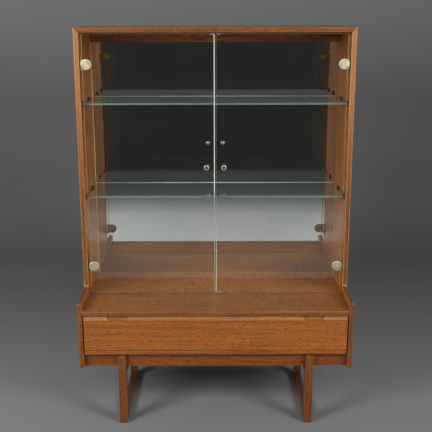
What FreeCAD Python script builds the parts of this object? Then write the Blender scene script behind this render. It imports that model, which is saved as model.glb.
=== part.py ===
"""Display cabinet: a glazed upper case on a deeper lower case with one drawer, on two sled leg frames.

All lengths are millimetres.  X runs to the right, Y to the back and Z up.  The origin lies on the floor
under the middle of the cabinet, so the left and right halves mirror each other across X = 0.
"""
import FreeCAD, Part
import os
import re
import Sketcher
from FreeCAD import Placement, Rotation, Vector

# Driving sizes, each written once
SIZES = {
    # the case boards
    "case_width": 914,
    "case_depth": 430,
    "case_height": 1315,
    "board_thickness": 17,
    "upper_setback": 163,
    "case_underside": 207,
    "lower_case_height": 201,
    "display_floor_thickness": 15,
    "step_rise": 28,
    "step_fillet": 12,
    "step_corner_round": 5,
    "edge_round": 4,
    "case_bottom_thickness": 16,
    "rail_height": 43,
    "rail_thickness": 18,
    "rail_recess": 20,
    "back_rail_height": 38,
    "back_rail_thickness": 14,
    # the mirror and the back panel, which lie in a stepped rebate
    "mirror_thickness": 4,
    "back_panel_thickness": 5,
    "back_inset": 3,
    "back_panel_lift": 2,
    "mirror_rebate": 6,
    "panel_rebate": 10,
    "rebate_fit": 0.5,
    "panel_pin_radius": 0.8,
    "panel_pin_length": 14,
    "panel_pin_head_radius": 2,
    "panel_pin_head_height": 0.8,
    # glass shelves and their studs
    "shelf_thickness": 6,
    "shelf_side_gap": 2.5,
    "shelf_front_inset": 27,
    "shelf_back_gap": 0.5,
    "stud_radius": 10.5,
    "stud_length": 7,
    "stud_web": 2.2,
    "stud_pin_radius": 2.5,
    "stud_pin_length": 9,
    "stud_front_inset": 10,
    "stud_spacing": 118,
    "stud_grip_clearance": 0.2,
    # glass doors
    "door_inset": 8,
    "door_thickness": 4,
    "door_side_gap": 7.5,
    "door_top_gap": 3,
    "door_bottom_gap": 4,
    "door_meeting_gap": 4,
    "door_edge_chamfer": 1.2,
    # hinges
    "hinge_end_distance": 98,
    "hinge_axis_gap": 5.1,
    "hinge_axis_depth": 1.7,
    "hinge_pin_radius": 1,
    "hinge_pin_head_radius": 1.8,
    "hinge_pin_head_height": 1.2,
    "knuckle_radius": 2,
    "knuckle_gap": 0.4,
    "door_knuckle_length": 26,
    "hinge_plate_height": 38,
    "hinge_plate_depth": 28,
    "hinge_plate_thickness": 2,
    "hinge_leaf_gap": 0.7,
    "hinge_web_gap": 0.4,
    "cap_side_distance": 20.5,
    "cap_radius": 17.3,
    "cap_thickness": 2.6,
    "cap_rim_thickness": 1.4,
    "cap_bevel": 2.5,
    "cap_ring_radius": 11,
    "cap_ring_width": 1.2,
    "cap_ring_depth": 0.6,
    "cap_boss_radius": 4,
    "cap_boss_gap": 0.3,
    "cap_thread_depth": 4.5,
    "glass_hole_gap": 1,
    "clamp_radius": 14,
    "clamp_thickness": 3,
    "clamp_dome": 2,
    "clamp_dome_radius": 10,
    "clamp_strap_height": 18,
    "hinge_washer_radius": 12,
    "hinge_washer_thickness": 0.5,
    "cap_screw_radius": 2,
    "cap_screw_reach": 8,
    "cap_screw_head_radius": 3.5,
    "cap_screw_head_height": 2,
    # knobs, strike clips and the catch
    "knob_edge_distance": 27,
    "knob_radius": 8.8,
    "knob_length": 14,
    "knob_stem_radius": 4.5,
    "knob_stem_length": 5,
    "knob_rim_length": 4,
    "knob_rim_round": 1.2,
    "knob_recess_radius": 3.2,
    "knob_recess_depth": 2,
    "knob_thread_depth": 7,
    "knob_screw_radius": 1.5,
    "knob_screw_reach": 6,
    "knob_screw_head_radius": 4,
    "knob_screw_head_height": 2.2,
    "clip_metal": 0.8,
    "clip_fit": 0.1,
    "strike_clip_width": 10.5,
    "strike_clip_height": 4.6,
    "strike_clip_edge_distance": 4.5,
    "foot_clip_width": 23,
    "foot_clip_height": 10,
    "foot_clip_edge_distance": 3,
    "catch_width": 44,
    "catch_depth": 16,
    "catch_height": 7,
    "catch_gap": 0.3,
    "catch_screw_distance": 12,
    "catch_screw_radius": 1.5,
    "catch_screw_reach": 9,
    "catch_screw_head_radius": 3,
    "catch_screw_head_height": 1.5,
    # the drawer
    "drawer_side_gap": 4,
    "drawer_top_gap": 2.5,
    "drawer_foot_gap": 5,
    "drawer_front_thickness": 18,
    "lipping_height": 16,
    "lipping_slope": 7,
    "lipping_groove": 2,
    "finger_notch_width": 68,
    "finger_notch_depth": 13,
    "finger_notch_reach": 12,
    "finger_notch_round": 10,
    "finger_notch_cove": 4,
    "drawer_box_gap": 6,
    "drawer_side_thickness": 14,
    "drawer_side_lift": 11,
    "drawer_side_drop": 24.5,
    "drawer_rear_gap": 37,
    "drawer_back_thickness": 12,
    "drawer_back_drop": 6,
    "drawer_back_inset": 6,
    "drawer_bottom_thickness": 4,
    "drawer_bottom_lift": 10,
    "drawer_bottom_groove": 5,
    "drawer_bottom_fit": 0.3,
    "drawer_dowel_radius": 3,
    "drawer_dowel_length": 24,
    "drawer_dowel_front_seat": 11,
    "drawer_dowel_side_seat": 9,
    # the wooden runners that the drawer hangs on
    "runner_groove_depth": 7,
    "runner_end_gap": 0.5,
    "runner_height": 13,
    "runner_top_gap": 0.3,
    "runner_foot_gap": 0.8,
    "runner_front_setback": 40,
    "runner_rear_gap": 42,
    "runner_stop_gap": 0.3,
    # wood joints
    "dowel_radius": 4,
    "dowel_length": 28,
    "dowel_seat": 10.5,
    "dowel_chamfer": 1,
    "dowel_fit": 0.05,
    "dowel_end_gap": 0.5,
    # wood screws
    "plate_screw_radius": 1.5,
    "plate_screw_reach": 12,
    "plate_screw_head_radius": 3,
    "plate_screw_spacing": 22,
    "plate_screw_depth": 16,
    "runner_screw_radius": 2,
    "runner_screw_reach": 9,
    "runner_screw_head_radius": 3.6,
    "runner_screw_head_height": 3,
    "runner_screw_sink": 5,
    "bar_screw_radius": 2.25,
    "bar_screw_reach": 11,
    "bar_screw_head_radius": 4,
    "bar_screw_head_height": 4,
    "bar_screw_sink": 12,
    "screw_fit": 0.1,
    # the two sled leg frames
    "leg_width": 26,
    "front_leg_depth": 30,
    "front_leg_setback": 5,
    "rear_leg_depth": 28,
    "rear_leg_setback": 40,
    "leg_foot_round": 7,
    "sled_width": 24,
    "floor_runner_height": 22,
    "top_bar_height": 32,
    "leg_dowel_length": 36,
    # running fits and the extra length of every cutter
    "pin_running_gap": 0.05,
    "overrun": 2,
}

# How far up the display space the shelves lie and up the doors the knobs stand
UPPER_SHELF_SHARE = 0.7438
LOWER_SHELF_SHARE = 0.3888
KNOB_SHARE = 0.505

# How far out from the middle the leg frames and the finger notches stand
LEG_SPREAD_SHARE = 0.687
NOTCH_SPREAD_SHARE = 0.743

# How high up the drawer's sides its runners lie
RUNNER_SHARE = 0.44


def between(low, high, share):
    """The formula of a place at a share of the way from low to high."""
    return f"({low}) + (({high}) - ({low})) * {share}"


# Places worked out from the sizes
PLACES = {
    "half_width": "case_width / 2",
    "side_inner": "half_width - board_thickness",
    "front_face": "-case_depth / 2",
    "rear_face": "case_depth / 2",
    "upper_front": "front_face + upper_setback",
    "top_underside": "case_height - board_thickness",
    "display_floor_height": "case_underside + lower_case_height",
    "step_top": "display_floor_height + step_rise",
    "floor_underside": "display_floor_height - display_floor_thickness",
    "floor_middle": "display_floor_height - display_floor_thickness / 2",
    "bottom_top": "case_underside + case_bottom_thickness",
    "bottom_middle": "case_underside + case_bottom_thickness / 2",
    "rail_front": "front_face + rail_recess",
    "rail_rear": "rail_front + rail_thickness",
    "rail_middle": "rail_front + rail_thickness / 2",
    "rail_top": "case_underside + rail_height",
    "panel_rear": "rear_face - back_inset",
    "panel_front": "panel_rear - back_panel_thickness",
    "mirror_front": "panel_front - mirror_thickness",
    "mirror_edge": "side_inner + mirror_rebate",
    "panel_edge": "side_inner + panel_rebate",
    "mirror_ceiling": "top_underside + mirror_rebate",
    "panel_ceiling": "top_underside + panel_rebate",
    "panel_foot": "case_underside + back_panel_lift",
    "pin_line": "(mirror_rebate + panel_rebate) / 2",
    "upper_shelf_height": between("display_floor_height", "top_underside", UPPER_SHELF_SHARE),
    "lower_shelf_height": between("display_floor_height", "top_underside", LOWER_SHELF_SHARE),
    "shelf_front": "upper_front + shelf_front_inset",
    "shelf_rear": "mirror_front - shelf_back_gap",
    "shelf_edge": "side_inner - shelf_side_gap",
    "front_stud": "shelf_front + stud_front_inset",
    "rear_stud": "front_stud + stud_spacing",
    "door_front": "upper_front + door_inset",
    "door_rear": "door_front + door_thickness",
    "door_outer": "side_inner - door_side_gap",
    "door_inner": "door_meeting_gap / 2",
    "door_foot": "display_floor_height + door_bottom_gap",
    "door_head": "top_underside - door_top_gap",
    "lower_hinge": "door_foot + hinge_end_distance",
    "upper_hinge": "door_head - hinge_end_distance",
    "hinge_line": "side_inner - hinge_axis_gap",
    "hinge_depth": "door_front + hinge_axis_depth",
    "cap_centre": "side_inner - cap_side_distance",
    "cap_offset": "cap_side_distance - hinge_axis_gap",
    "leaf_notch": "cap_radius - cap_offset + hinge_leaf_gap",
    "glass_back": "door_thickness - hinge_axis_depth",
    "clamp_front": "glass_back + hinge_washer_thickness",
    "clamp_rear": "clamp_front + clamp_thickness",
    "clamp_crown": "clamp_rear + clamp_dome",
    "knob_centre": "door_inner + knob_edge_distance",
    "knob_height": between("door_foot", "door_head", KNOB_SHARE),
    "catch_front": "door_rear + clip_fit + clip_metal + catch_gap",
    "drawer_foot": "rail_top + drawer_foot_gap",
    "drawer_head": "floor_underside - drawer_top_gap",
    "drawer_edge": "side_inner - drawer_side_gap",
    "drawer_rear_of_front": "front_face + drawer_front_thickness",
    "core_foot": "drawer_foot + lipping_height",
    "core_head": "drawer_head - lipping_height",
    "box_outer": "side_inner - drawer_box_gap",
    "box_inner": "box_outer - drawer_side_thickness",
    "box_middle": "box_outer - drawer_side_thickness / 2",
    "box_rear": "panel_front - drawer_rear_gap",
    "box_foot": "drawer_foot + drawer_side_lift",
    "box_head": "drawer_head - drawer_side_drop",
    "finger_notch_distance": f"drawer_edge * {NOTCH_SPREAD_SHARE}",
    "drawer_back_head": "box_head - drawer_back_drop",
    "drawer_back_rear": "box_rear - drawer_back_inset",
    "drawer_back_front": "drawer_back_rear - drawer_back_thickness",
    "drawer_back_middle": "drawer_back_rear - drawer_back_thickness / 2",
    "drawer_bottom_foot": "box_foot + drawer_bottom_lift",
    "drawer_bottom_head": "drawer_bottom_foot + drawer_bottom_thickness",
    "runner_foot": between("box_foot", "box_head", RUNNER_SHARE),
    "runner_head": "runner_foot + runner_height",
    "runner_middle": "runner_foot + runner_height / 2",
    "runner_front": "front_face + runner_front_setback",
    "runner_rear": "panel_front - runner_rear_gap",
    "runner_inner": "box_outer - runner_groove_depth + runner_end_gap",
    "leg_distance": f"half_width * {LEG_SPREAD_SHARE}",
    "leg_inner": "leg_distance - leg_width / 2",
    "leg_outer": "leg_distance + leg_width / 2",
    "sled_inner": "leg_distance - sled_width / 2",
    "sled_outer": "leg_distance + sled_width / 2",
    "front_leg_front": "front_face + front_leg_setback",
    "front_leg_rear": "front_leg_front + front_leg_depth",
    "rear_leg_rear": "rear_face - rear_leg_setback",
    "rear_leg_front": "rear_leg_rear - rear_leg_depth",
    "top_bar_foot": "case_underside - top_bar_height",
}

# Shares of a board's length at which its dowels, screws and pins stand
BOARD_DOWEL_SHARES = (0.1, 0.5, 0.9)
RAIL_DOWEL_SHARES = (0.25, 0.75)
DRAWER_DOWEL_SHARES = (0.24, 0.8)
SCREW_SHARES = (0.14, 0.5, 0.86)
PANEL_PIN_SHARES = (0.04, 0.23, 0.41, 0.59, 0.77, 0.96)
CROSS_PIN_SHARES = (-0.75, -0.25, 0.25, 0.75)

# Two points closer than this are taken as one when edges are picked
PICK_TOLERANCE = 0.001

TO_RIGHT = Rotation(Vector(0, 0, 1), Vector(1, 0, 0))
TO_LEFT = Rotation(Vector(0, 0, 1), Vector(-1, 0, 0))
TO_FRONT = Rotation(Vector(0, 0, 1), Vector(0, -1, 0))
TO_BACK = Rotation(Vector(0, 0, 1), Vector(0, 1, 0))
UPRIGHT = Rotation()
HALF_TURN = Rotation(Vector(0, 1, 0), 180)

LEFT = -1
RIGHT = 1
SIDE_NAMES = {LEFT: "left", RIGHT: "right"}

doc = FreeCAD.newDocument("display_cabinet")
nodes = {}


def make_sheet(name, cells):
    """Writes one spreadsheet of named cells."""
    sheet = doc.addObject("Spreadsheet::Sheet", name)
    for row, (alias, content) in enumerate(cells.items(), start=1):
        sheet.set(f"A{row}", alias)
        sheet.set(f"B{row}", content)
        sheet.setAlias(f"B{row}", alias)
    return sheet


def qualified(formula, places_prefix="Places."):
    """Gives every size and place in a formula the name of its sheet."""
    def full_name(match):
        word = match.group(0)
        if word in SIZES:
            return "Sizes." + word
        if word in PLACES:
            return places_prefix + word
        return word
    return re.sub(r"[a-z][a-z_]*", full_name, formula)


sizes_sheet = make_sheet("Sizes", {name: str(value) for name, value in SIZES.items()})
doc.recompute()
places_sheet = make_sheet("Places", {name: "=" + qualified(text, "") for name, text in PLACES.items()})
doc.recompute()


def number(formula):
    """The present value of a formula."""
    return float(sizes_sheet.evalExpression(qualified(formula)))


def bind(target, prop, formula):
    """Ties a property to a formula of named sizes."""
    target.setExpression(prop, qualified(formula))


def put(target, x, y, z, turn=UPRIGHT):
    """Sets a placement, its position tied to three formulas."""
    target.Placement = Placement(Vector(), turn)
    for axis, formula in zip("xyz", (x, y, z)):
        bind(target, f"Placement.Base.{axis}", formula)
    return target


def keep(target, label):
    """Marks an object as a finished piece that is written under its label."""
    target.Label = label
    nodes[label] = target
    return target


def box(name, x, y, z):
    """A block between low and high formulas along each axis."""
    block = doc.addObject("Part::Box", name)
    for prop, (low, high) in zip(("Length", "Width", "Height"), (x, y, z)):
        bind(block, prop, f"({high}) - ({low})")
    return put(block, x[0], y[0], z[0])


def rod(name, radius, length, start, turn):
    """A plain cylinder that runs from a start point along a direction."""
    bar = doc.addObject("Part::Cylinder", name)
    bind(bar, "Radius", radius)
    bind(bar, "Height", length)
    return put(bar, *start, turn)


def group(name, members):
    """Several solids kept apart in one object."""
    cluster = doc.addObject("Part::Compound", name)
    cluster.Links = members
    return cluster


def cut(name, base, tools):
    """A body with every tool taken out of it."""
    result = doc.addObject("Part::Cut", name)
    result.Base = base
    result.Tool = tools[0] if len(tools) == 1 else group(name + "_cutters", tools)
    return result


def fuse(name, members):
    """Several overlapping bodies made one."""
    result = doc.addObject("Part::MultiFuse", name)
    result.Shapes = members
    result.Refine = True
    return result


def mirrored(name, source):
    """The opposite hand of a piece, across the middle of the cabinet."""
    twin = doc.addObject("Part::Mirroring", name)
    twin.Source = source
    twin.Normal = Vector(1, 0, 0)
    return twin


def copies(name, master, spots):
    """One piece repeated at several spots, each an x, y, z and a turn."""
    links = []
    for count, (x, y, z, turn) in enumerate(spots, start=1):
        link = doc.addObject("App::Link", f"{name}_{count}")
        link.LinkedObject = master
        link.LinkTransform = True
        links.append(put(link, x, y, z, turn))
    return group(name, links)


def new_body(name):
    """An empty body."""
    return doc.addObject("PartDesign::Body", name)


def new_sketch(body, name, plane, offset):
    """A sketch on one of the body's own planes, moved along that plane's normal."""
    sketch = body.newObject("Sketcher::SketchObject", name)
    support = next(item for item in body.Origin.OriginFeatures if item.Role == plane)
    sketch.AttachmentSupport = (support, [""])
    sketch.MapMode = "FlatFace"
    bind(sketch, "AttachmentOffset.Base.z", offset)
    return sketch


def fix_point(sketch, geometry, position, u, v):
    """Ties a point of a sketch to two formulas measured from the sketch's origin."""
    for kind, formula in (("DistanceX", u), ("DistanceY", v)):
        rule = Sketcher.Constraint(kind, -1, 1, geometry, position, number(formula))
        bind(sketch, f"Constraints[{sketch.addConstraint(rule)}]", formula)


def draw_outline(sketch, points):
    """A closed outline through points that are each tied to two formulas."""
    corners = [Vector(number(u), number(v), 0) for u, v in points]
    total = len(corners)
    for index in range(total):
        sketch.addGeometry(Part.LineSegment(corners[index], corners[(index + 1) % total]), False)
    for index in range(total):
        sketch.addConstraint(Sketcher.Constraint("Coincident", index, 2, (index + 1) % total, 1))
    for index, (u, v) in enumerate(points):
        fix_point(sketch, index, 1, u, v)


def pad(body, name, plane, points, low, high):
    """An outline raised from a low to a high place; the XZ plane's normal points to the front."""
    sketch = new_sketch(body, name + "_outline", plane, f"-({high})" if plane == "XZ_Plane" else low)
    draw_outline(sketch, points)
    feature = body.newObject("PartDesign::Pad", name)
    feature.Profile = sketch
    bind(feature, "Length", f"({high}) - ({low})")
    doc.recompute()
    return feature


def pocket(body, name, plane, points, low, high):
    """An outline cut out of a body between a low and a high place."""
    before = body.Shape.Volume
    sketch = new_sketch(body, name + "_outline", plane, f"-({low})" if plane == "XZ_Plane" else high)
    draw_outline(sketch, points)
    feature = body.newObject("PartDesign::Pocket", name)
    feature.Profile = sketch
    bind(feature, "Length", f"({high}) - ({low})")
    doc.recompute()
    if body.Shape.Volume >= before:
        raise RuntimeError(f"{name} took nothing away")
    return feature


def ease(body, kind, name, size, wanted):
    """Rounds or chamfers the edges of a body's last feature whose ends and middle pass a test."""
    last = body.Tip
    edges = [f"Edge{count}" for count, edge in enumerate(last.Shape.Edges, start=1) if wanted(edge)]
    feature = body.newObject("PartDesign::" + kind, name)
    feature.Base = (last, edges)
    bind(feature, "Radius" if kind == "Fillet" else "Size", size)
    doc.recompute()
    return feature


def turned(name, profile):
    """A round piece about its own Z axis, from a profile of radius and height formulas."""
    body = new_body(name)
    sketch = new_sketch(body, name + "_profile", "XZ_Plane", "0")
    draw_outline(sketch, profile)
    spin = body.newObject("PartDesign::Revolution", name + "_turn")
    spin.Profile = sketch
    spin.ReferenceAxis = (sketch, ["V_Axis"])
    spin.Angle = 360
    doc.recompute()
    return body


def middle(edge):
    """The middle point of an edge."""
    return edge.valueAt((edge.FirstParameter + edge.LastParameter) / 2)


def same(value, formula):
    """Whether a coordinate lies where a formula says."""
    return abs(value - number(formula)) < PICK_TOLERANCE


def level(edge, axis, formula):
    """Whether a whole edge lies in the plane where one coordinate has the formula's value."""
    points = [vertex.Point for vertex in edge.Vertexes] + [middle(edge)]
    return all(same(getattr(point, axis), formula) for point in points)


def dowel_master(name, radius, length):
    """A dowel with chamfered ends, from its inner end at zero."""
    return turned(name, [
        ("0", "0"), (f"{radius} - dowel_chamfer", "0"), (radius, "dowel_chamfer"),
        (radius, f"{length} - dowel_chamfer"), (f"{radius} - dowel_chamfer", length), ("0", length),
    ])


def dowel_drill(name, radius, length):
    """The hole of a dowel, a little wider and longer than the dowel itself."""
    return rod(name, f"{radius} + dowel_fit", f"{length} + dowel_end_gap * 2",
               ("0", "0", "-dowel_end_gap"), UPRIGHT)


def screw_master(name, radius, length, head_radius, head_height):
    """A screw whose head lies below zero and whose shank runs up from it."""
    return turned(name, [
        ("0", f"-({head_height})"), (head_radius, f"-({head_height})"), (head_radius, "0"),
        (radius, "0"), (radius, length), ("0", length),
    ])


def screw_drill(name, radius, length, head_radius, sink):
    """The stepped hole of a screw: a wide mouth for its head and a narrow bore for its shank."""
    return turned(name, [
        ("0", f"-({sink}) - overrun"), (f"{head_radius} + screw_fit", f"-({sink}) - overrun"),
        (f"{head_radius} + screw_fit", "0"), (f"{radius} + screw_fit", "0"),
        (f"{radius} + screw_fit", f"{length} + dowel_end_gap"), ("0", f"{length} + dowel_end_gap"),
    ])


def both_sides(spots_of_side):
    """The spots of the left side followed by those of the right."""
    return spots_of_side(LEFT) + spots_of_side(RIGHT)


def inward(side):
    """The turn that points from a side panel to the middle."""
    return TO_RIGHT if side == LEFT else TO_LEFT


def outward(side):
    """The turn that points from the middle into a side panel."""
    return TO_LEFT if side == LEFT else TO_RIGHT


# Where fasteners stand, used for the fasteners and for their holes alike


def floor_dowel_spots(side):
    """Dowels between the display floor and one side panel."""
    return [(f"{side} * (side_inner + dowel_seat)", between("front_face", "panel_front", share),
             "floor_middle", inward(side)) for share in BOARD_DOWEL_SHARES]


def bottom_dowel_spots(side):
    """Dowels between the case bottom and one side panel."""
    return [(f"{side} * (side_inner + dowel_seat)", between("rail_rear", "panel_front", share),
             "bottom_middle", inward(side)) for share in BOARD_DOWEL_SHARES]


def rail_dowel_spots(side):
    """Dowels between the front rail and one side panel."""
    return [(f"{side} * (side_inner + dowel_seat)", "rail_middle",
             between("case_underside", "rail_top", share), inward(side)) for share in RAIL_DOWEL_SHARES]


def stud_spots(side):
    """Studs of both shelves on one side panel."""
    return [(f"{side} * side_inner", depth, f"{height} - shelf_thickness / 2", inward(side))
            for height in ("upper_shelf_height", "lower_shelf_height")
            for depth in ("front_stud", "rear_stud")]


def plate_screw_spots(side):
    """Screws of both hinge plates on one side panel."""
    return [(f"{side} * (side_inner - hinge_plate_thickness)", "hinge_depth + plate_screw_depth",
             f"{height} + {lift} * plate_screw_spacing / 2", outward(side))
            for height in ("lower_hinge", "upper_hinge") for lift in (LEFT, RIGHT)]


def runner_screw_spots(side):
    """Screws of one drawer runner."""
    return [(f"{side} * (runner_inner + runner_screw_sink)", between("runner_front", "runner_rear", share),
             "runner_middle", outward(side)) for share in SCREW_SHARES]


def bar_screw_spots(side):
    """Screws up through one top bar into the case bottom."""
    return [(f"{side} * leg_distance", between("front_leg_rear", "rear_leg_front", share),
             "top_bar_foot + bar_screw_sink", UPRIGHT) for share in SCREW_SHARES]


def leg_dowel_spots(side, end):
    """Dowels between one leg and the floor runner and top bar that meet it."""
    return [(f"{side} * leg_distance", f"{end} - leg_dowel_length / 2", height, TO_BACK)
            for height in ("floor_runner_height / 2", "case_underside - top_bar_height / 2")]


def side_pin_spots(side):
    """Pins of the back panel in the rebate of one side panel."""
    return [(f"{side} * (side_inner + pin_line)", "panel_rear", between("panel_foot", "panel_ceiling", share),
             TO_BACK) for share in PANEL_PIN_SHARES]


def cross_pin_spots(height):
    """Pins of the back panel in one crosswise board."""
    return [(f"side_inner * {share}", "panel_rear", height, TO_BACK) for share in CROSS_PIN_SHARES]


def drawer_front_dowel_spots(side):
    """Dowels between the drawer front and one drawer side."""
    return [(f"{side} * box_middle", "drawer_rear_of_front - drawer_dowel_front_seat",
             between("box_foot", "box_head", share), TO_BACK) for share in DRAWER_DOWEL_SHARES]


def drawer_back_dowel_spots(side):
    """Dowels between the drawer back and one drawer side."""
    return [(f"{side} * (box_inner + drawer_dowel_side_seat)", "drawer_back_middle",
             between("drawer_bottom_head", "drawer_back_head", share), inward(side))
            for share in DRAWER_DOWEL_SHARES]


def catch_screw_spots():
    """Screws of the catch up into the top panel."""
    return [(f"{side} * catch_screw_distance", "catch_front + catch_depth / 2",
             "top_underside - catch_height", UPRIGHT) for side in (LEFT, RIGHT)]


# Fasteners, made once and repeated, and the drills of their holes

dowel = dowel_master("dowel", "dowel_radius", "dowel_length")
dowel_hole = dowel_drill("dowel_hole", "dowel_radius", "dowel_length")
leg_dowel = dowel_master("leg_dowel", "dowel_radius", "leg_dowel_length")
leg_dowel_hole = dowel_drill("leg_dowel_hole", "dowel_radius", "leg_dowel_length")
drawer_dowel = dowel_master("drawer_dowel", "drawer_dowel_radius", "drawer_dowel_length")
drawer_dowel_hole = dowel_drill("drawer_dowel_hole", "drawer_dowel_radius", "drawer_dowel_length")

RUNNER_SCREW_LENGTH = "side_inner - runner_inner - runner_screw_sink + runner_screw_reach"
runner_screw = screw_master("runner_screw", "runner_screw_radius", RUNNER_SCREW_LENGTH,
                            "runner_screw_head_radius", "runner_screw_head_height")
runner_screw_hole = screw_drill("runner_screw_hole", "runner_screw_radius", RUNNER_SCREW_LENGTH,
                                "runner_screw_head_radius", "runner_screw_sink")
BAR_SCREW_LENGTH = "top_bar_height - bar_screw_sink + bar_screw_reach"
bar_screw = screw_master("bar_screw", "bar_screw_radius", BAR_SCREW_LENGTH,
                         "bar_screw_head_radius", "bar_screw_head_height")
bar_screw_hole = screw_drill("bar_screw_hole", "bar_screw_radius", BAR_SCREW_LENGTH,
                             "bar_screw_head_radius", "bar_screw_sink")
CATCH_SCREW_LENGTH = "catch_height + catch_screw_reach"
catch_screw = screw_master("catch_screw", "catch_screw_radius", CATCH_SCREW_LENGTH,
                           "catch_screw_head_radius", "catch_screw_head_height")
catch_screw_hole = screw_drill("catch_screw_hole", "catch_screw_radius", CATCH_SCREW_LENGTH,
                               "catch_screw_head_radius", "catch_screw_head_height")

plate_screw = turned("plate_screw", [
    ("0", "0"), ("plate_screw_head_radius", "0"), ("plate_screw_radius", "hinge_plate_thickness"),
    ("plate_screw_radius", "plate_screw_reach"), ("0", "plate_screw_reach"),
])
plate_screw_hole = turned("plate_screw_hole", [
    ("0", "0"), ("plate_screw_head_radius + screw_fit", "0"),
    ("plate_screw_radius + screw_fit", "hinge_plate_thickness"),
    ("plate_screw_radius + screw_fit", "plate_screw_reach + dowel_end_gap"),
    ("0", "plate_screw_reach + dowel_end_gap"),
])
panel_pin = turned("panel_pin", [
    ("0", "-panel_pin_length"), ("panel_pin_radius", "-panel_pin_length"), ("panel_pin_radius", "0"),
    ("panel_pin_head_radius", "0"), ("panel_pin_head_radius", "panel_pin_head_height / 2"),
    ("panel_pin_radius", "panel_pin_head_height"), ("0", "panel_pin_head_height"),
])
panel_pin_hole = rod("panel_pin_hole", "panel_pin_radius + pin_running_gap",
                     "panel_pin_length + dowel_end_gap + overrun",
                     ("0", "0", "-panel_pin_length - dowel_end_gap"), UPRIGHT)

keep(copies("carcass_dowels", dowel, both_sides(floor_dowel_spots) + both_sides(bottom_dowel_spots)
            + both_sides(rail_dowel_spots)), "carcass_dowels")
keep(copies("drawer_runner_screws", runner_screw, both_sides(runner_screw_spots)), "drawer_runner_screws")
keep(copies("top_bar_screws", bar_screw, both_sides(bar_screw_spots)), "top_bar_screws")
keep(copies("hinge_plate_screws", plate_screw, both_sides(plate_screw_spots)), "hinge_plate_screws")
keep(copies("catch_screws", catch_screw, catch_screw_spots()), "catch_screws")
keep(copies("back_panel_pins", panel_pin, both_sides(side_pin_spots)
            + cross_pin_spots("top_underside + pin_line") + cross_pin_spots("floor_middle")
            + cross_pin_spots("bottom_middle")), "back_panel_pins")
keep(copies("drawer_dowels", drawer_dowel, both_sides(drawer_front_dowel_spots)
            + both_sides(drawer_back_dowel_spots)), "drawer_dowels")
keep(copies("leg_frame_dowels", leg_dowel, [
    spot for side in (LEFT, RIGHT) for end in ("front_leg_rear", "rear_leg_front")
    for spot in leg_dowel_spots(side, end)
]), "leg_frame_dowels")

# Side panels, stepped in profile and mitred to the top

side_blank = new_body("side_blank")
pad(side_blank, "side_board", "YZ_Plane", [
    ("front_face", "case_underside"), ("rear_face", "case_underside"), ("rear_face", "case_height"),
    ("upper_front", "case_height"), ("upper_front", "step_top"), ("front_face", "step_top"),
], "-half_width", "-side_inner")
ease(side_blank, "Fillet", "step_hollow", "step_fillet",
     lambda edge: level(edge, "y", "upper_front") and level(edge, "z", "step_top"))
ease(side_blank, "Fillet", "step_corner", "step_corner_round",
     lambda edge: level(edge, "y", "front_face") and level(edge, "z", "step_top"))


def on_front_outline(edge):
    """Whether an edge of the side board runs down its stepped front, on either face."""
    on_a_face = level(edge, "x", "-half_width") or level(edge, "x", "-side_inner")
    at_an_end = level(edge, "z", "case_underside") or level(edge, "z", "case_height")
    return on_a_face and not at_an_end and not level(edge, "y", "rear_face")


ease(side_blank, "Fillet", "side_front_arris", "edge_round", on_front_outline)

mitre_cutter = new_body("mitre_cutter")
pad(mitre_cutter, "mitre_wedge", "XZ_Plane", [
    ("-half_width - overrun", "case_height + overrun"), ("-side_inner + overrun", "top_underside - overrun"),
    ("-side_inner + overrun", "case_height + overrun"),
], "upper_front - overrun", "rear_face + overrun")
side_rebate = new_body("side_rebate")
pad(side_rebate, "side_rebate_run", "XY_Plane", [
    ("-mirror_edge", "mirror_front"), ("-side_inner + overrun", "mirror_front"),
    ("-side_inner + overrun", "rear_face + overrun"), ("-panel_edge", "rear_face + overrun"),
    ("-panel_edge", "panel_front"), ("-mirror_edge", "panel_front"),
], "case_underside - overrun", "case_height + overrun")
stud_hole = rod("stud_hole", "stud_pin_radius + screw_fit", "stud_pin_length + dowel_end_gap + overrun",
                ("0", "0", "-stud_pin_length - dowel_end_gap"), UPRIGHT)
shaped_side = cut("shaped_side", cut("mitred_side", side_blank, [mitre_cutter]), [side_rebate])
left_side = keep(cut("left_side_panel", shaped_side, [
    copies("side_dowel_holes", dowel_hole,
           floor_dowel_spots(LEFT) + bottom_dowel_spots(LEFT) + rail_dowel_spots(LEFT)),
    copies("side_stud_holes", stud_hole, stud_spots(LEFT)),
    copies("side_plate_screw_holes", plate_screw_hole, plate_screw_spots(LEFT)),
    copies("side_runner_screw_holes", runner_screw_hole, runner_screw_spots(LEFT)),
    copies("side_pin_holes", panel_pin_hole, side_pin_spots(LEFT)),
]), "left_side_panel")
keep(mirrored("right_side_panel", left_side), "right_side_panel")

# Top panel

top_blank = new_body("top_blank")
pad(top_blank, "top_board", "XZ_Plane", [
    ("-half_width", "case_height"), ("-side_inner", "top_underside"), ("side_inner", "top_underside"),
    ("half_width", "case_height"),
], "upper_front", "rear_face")
ease(top_blank, "Fillet", "top_front_arris", "edge_round", lambda edge: level(edge, "y", "upper_front")
     and (level(edge, "z", "case_height") or level(edge, "z", "top_underside")))
top_rebate = new_body("top_rebate")
pad(top_rebate, "top_rebate_run", "YZ_Plane", [
    ("mirror_front", "mirror_ceiling"), ("mirror_front", "top_underside - overrun"),
    ("rear_face + overrun", "top_underside - overrun"), ("rear_face + overrun", "panel_ceiling"),
    ("panel_front", "panel_ceiling"), ("panel_front", "mirror_ceiling"),
], "-half_width", "half_width")
keep(cut("top_panel", cut("rebated_top", top_blank, [top_rebate]), [
    copies("top_catch_holes", catch_screw_hole, catch_screw_spots()),
    copies("top_pin_holes", panel_pin_hole, cross_pin_spots("top_underside + pin_line")),
]), "top_panel")

# Crosswise boards of the case

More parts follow.
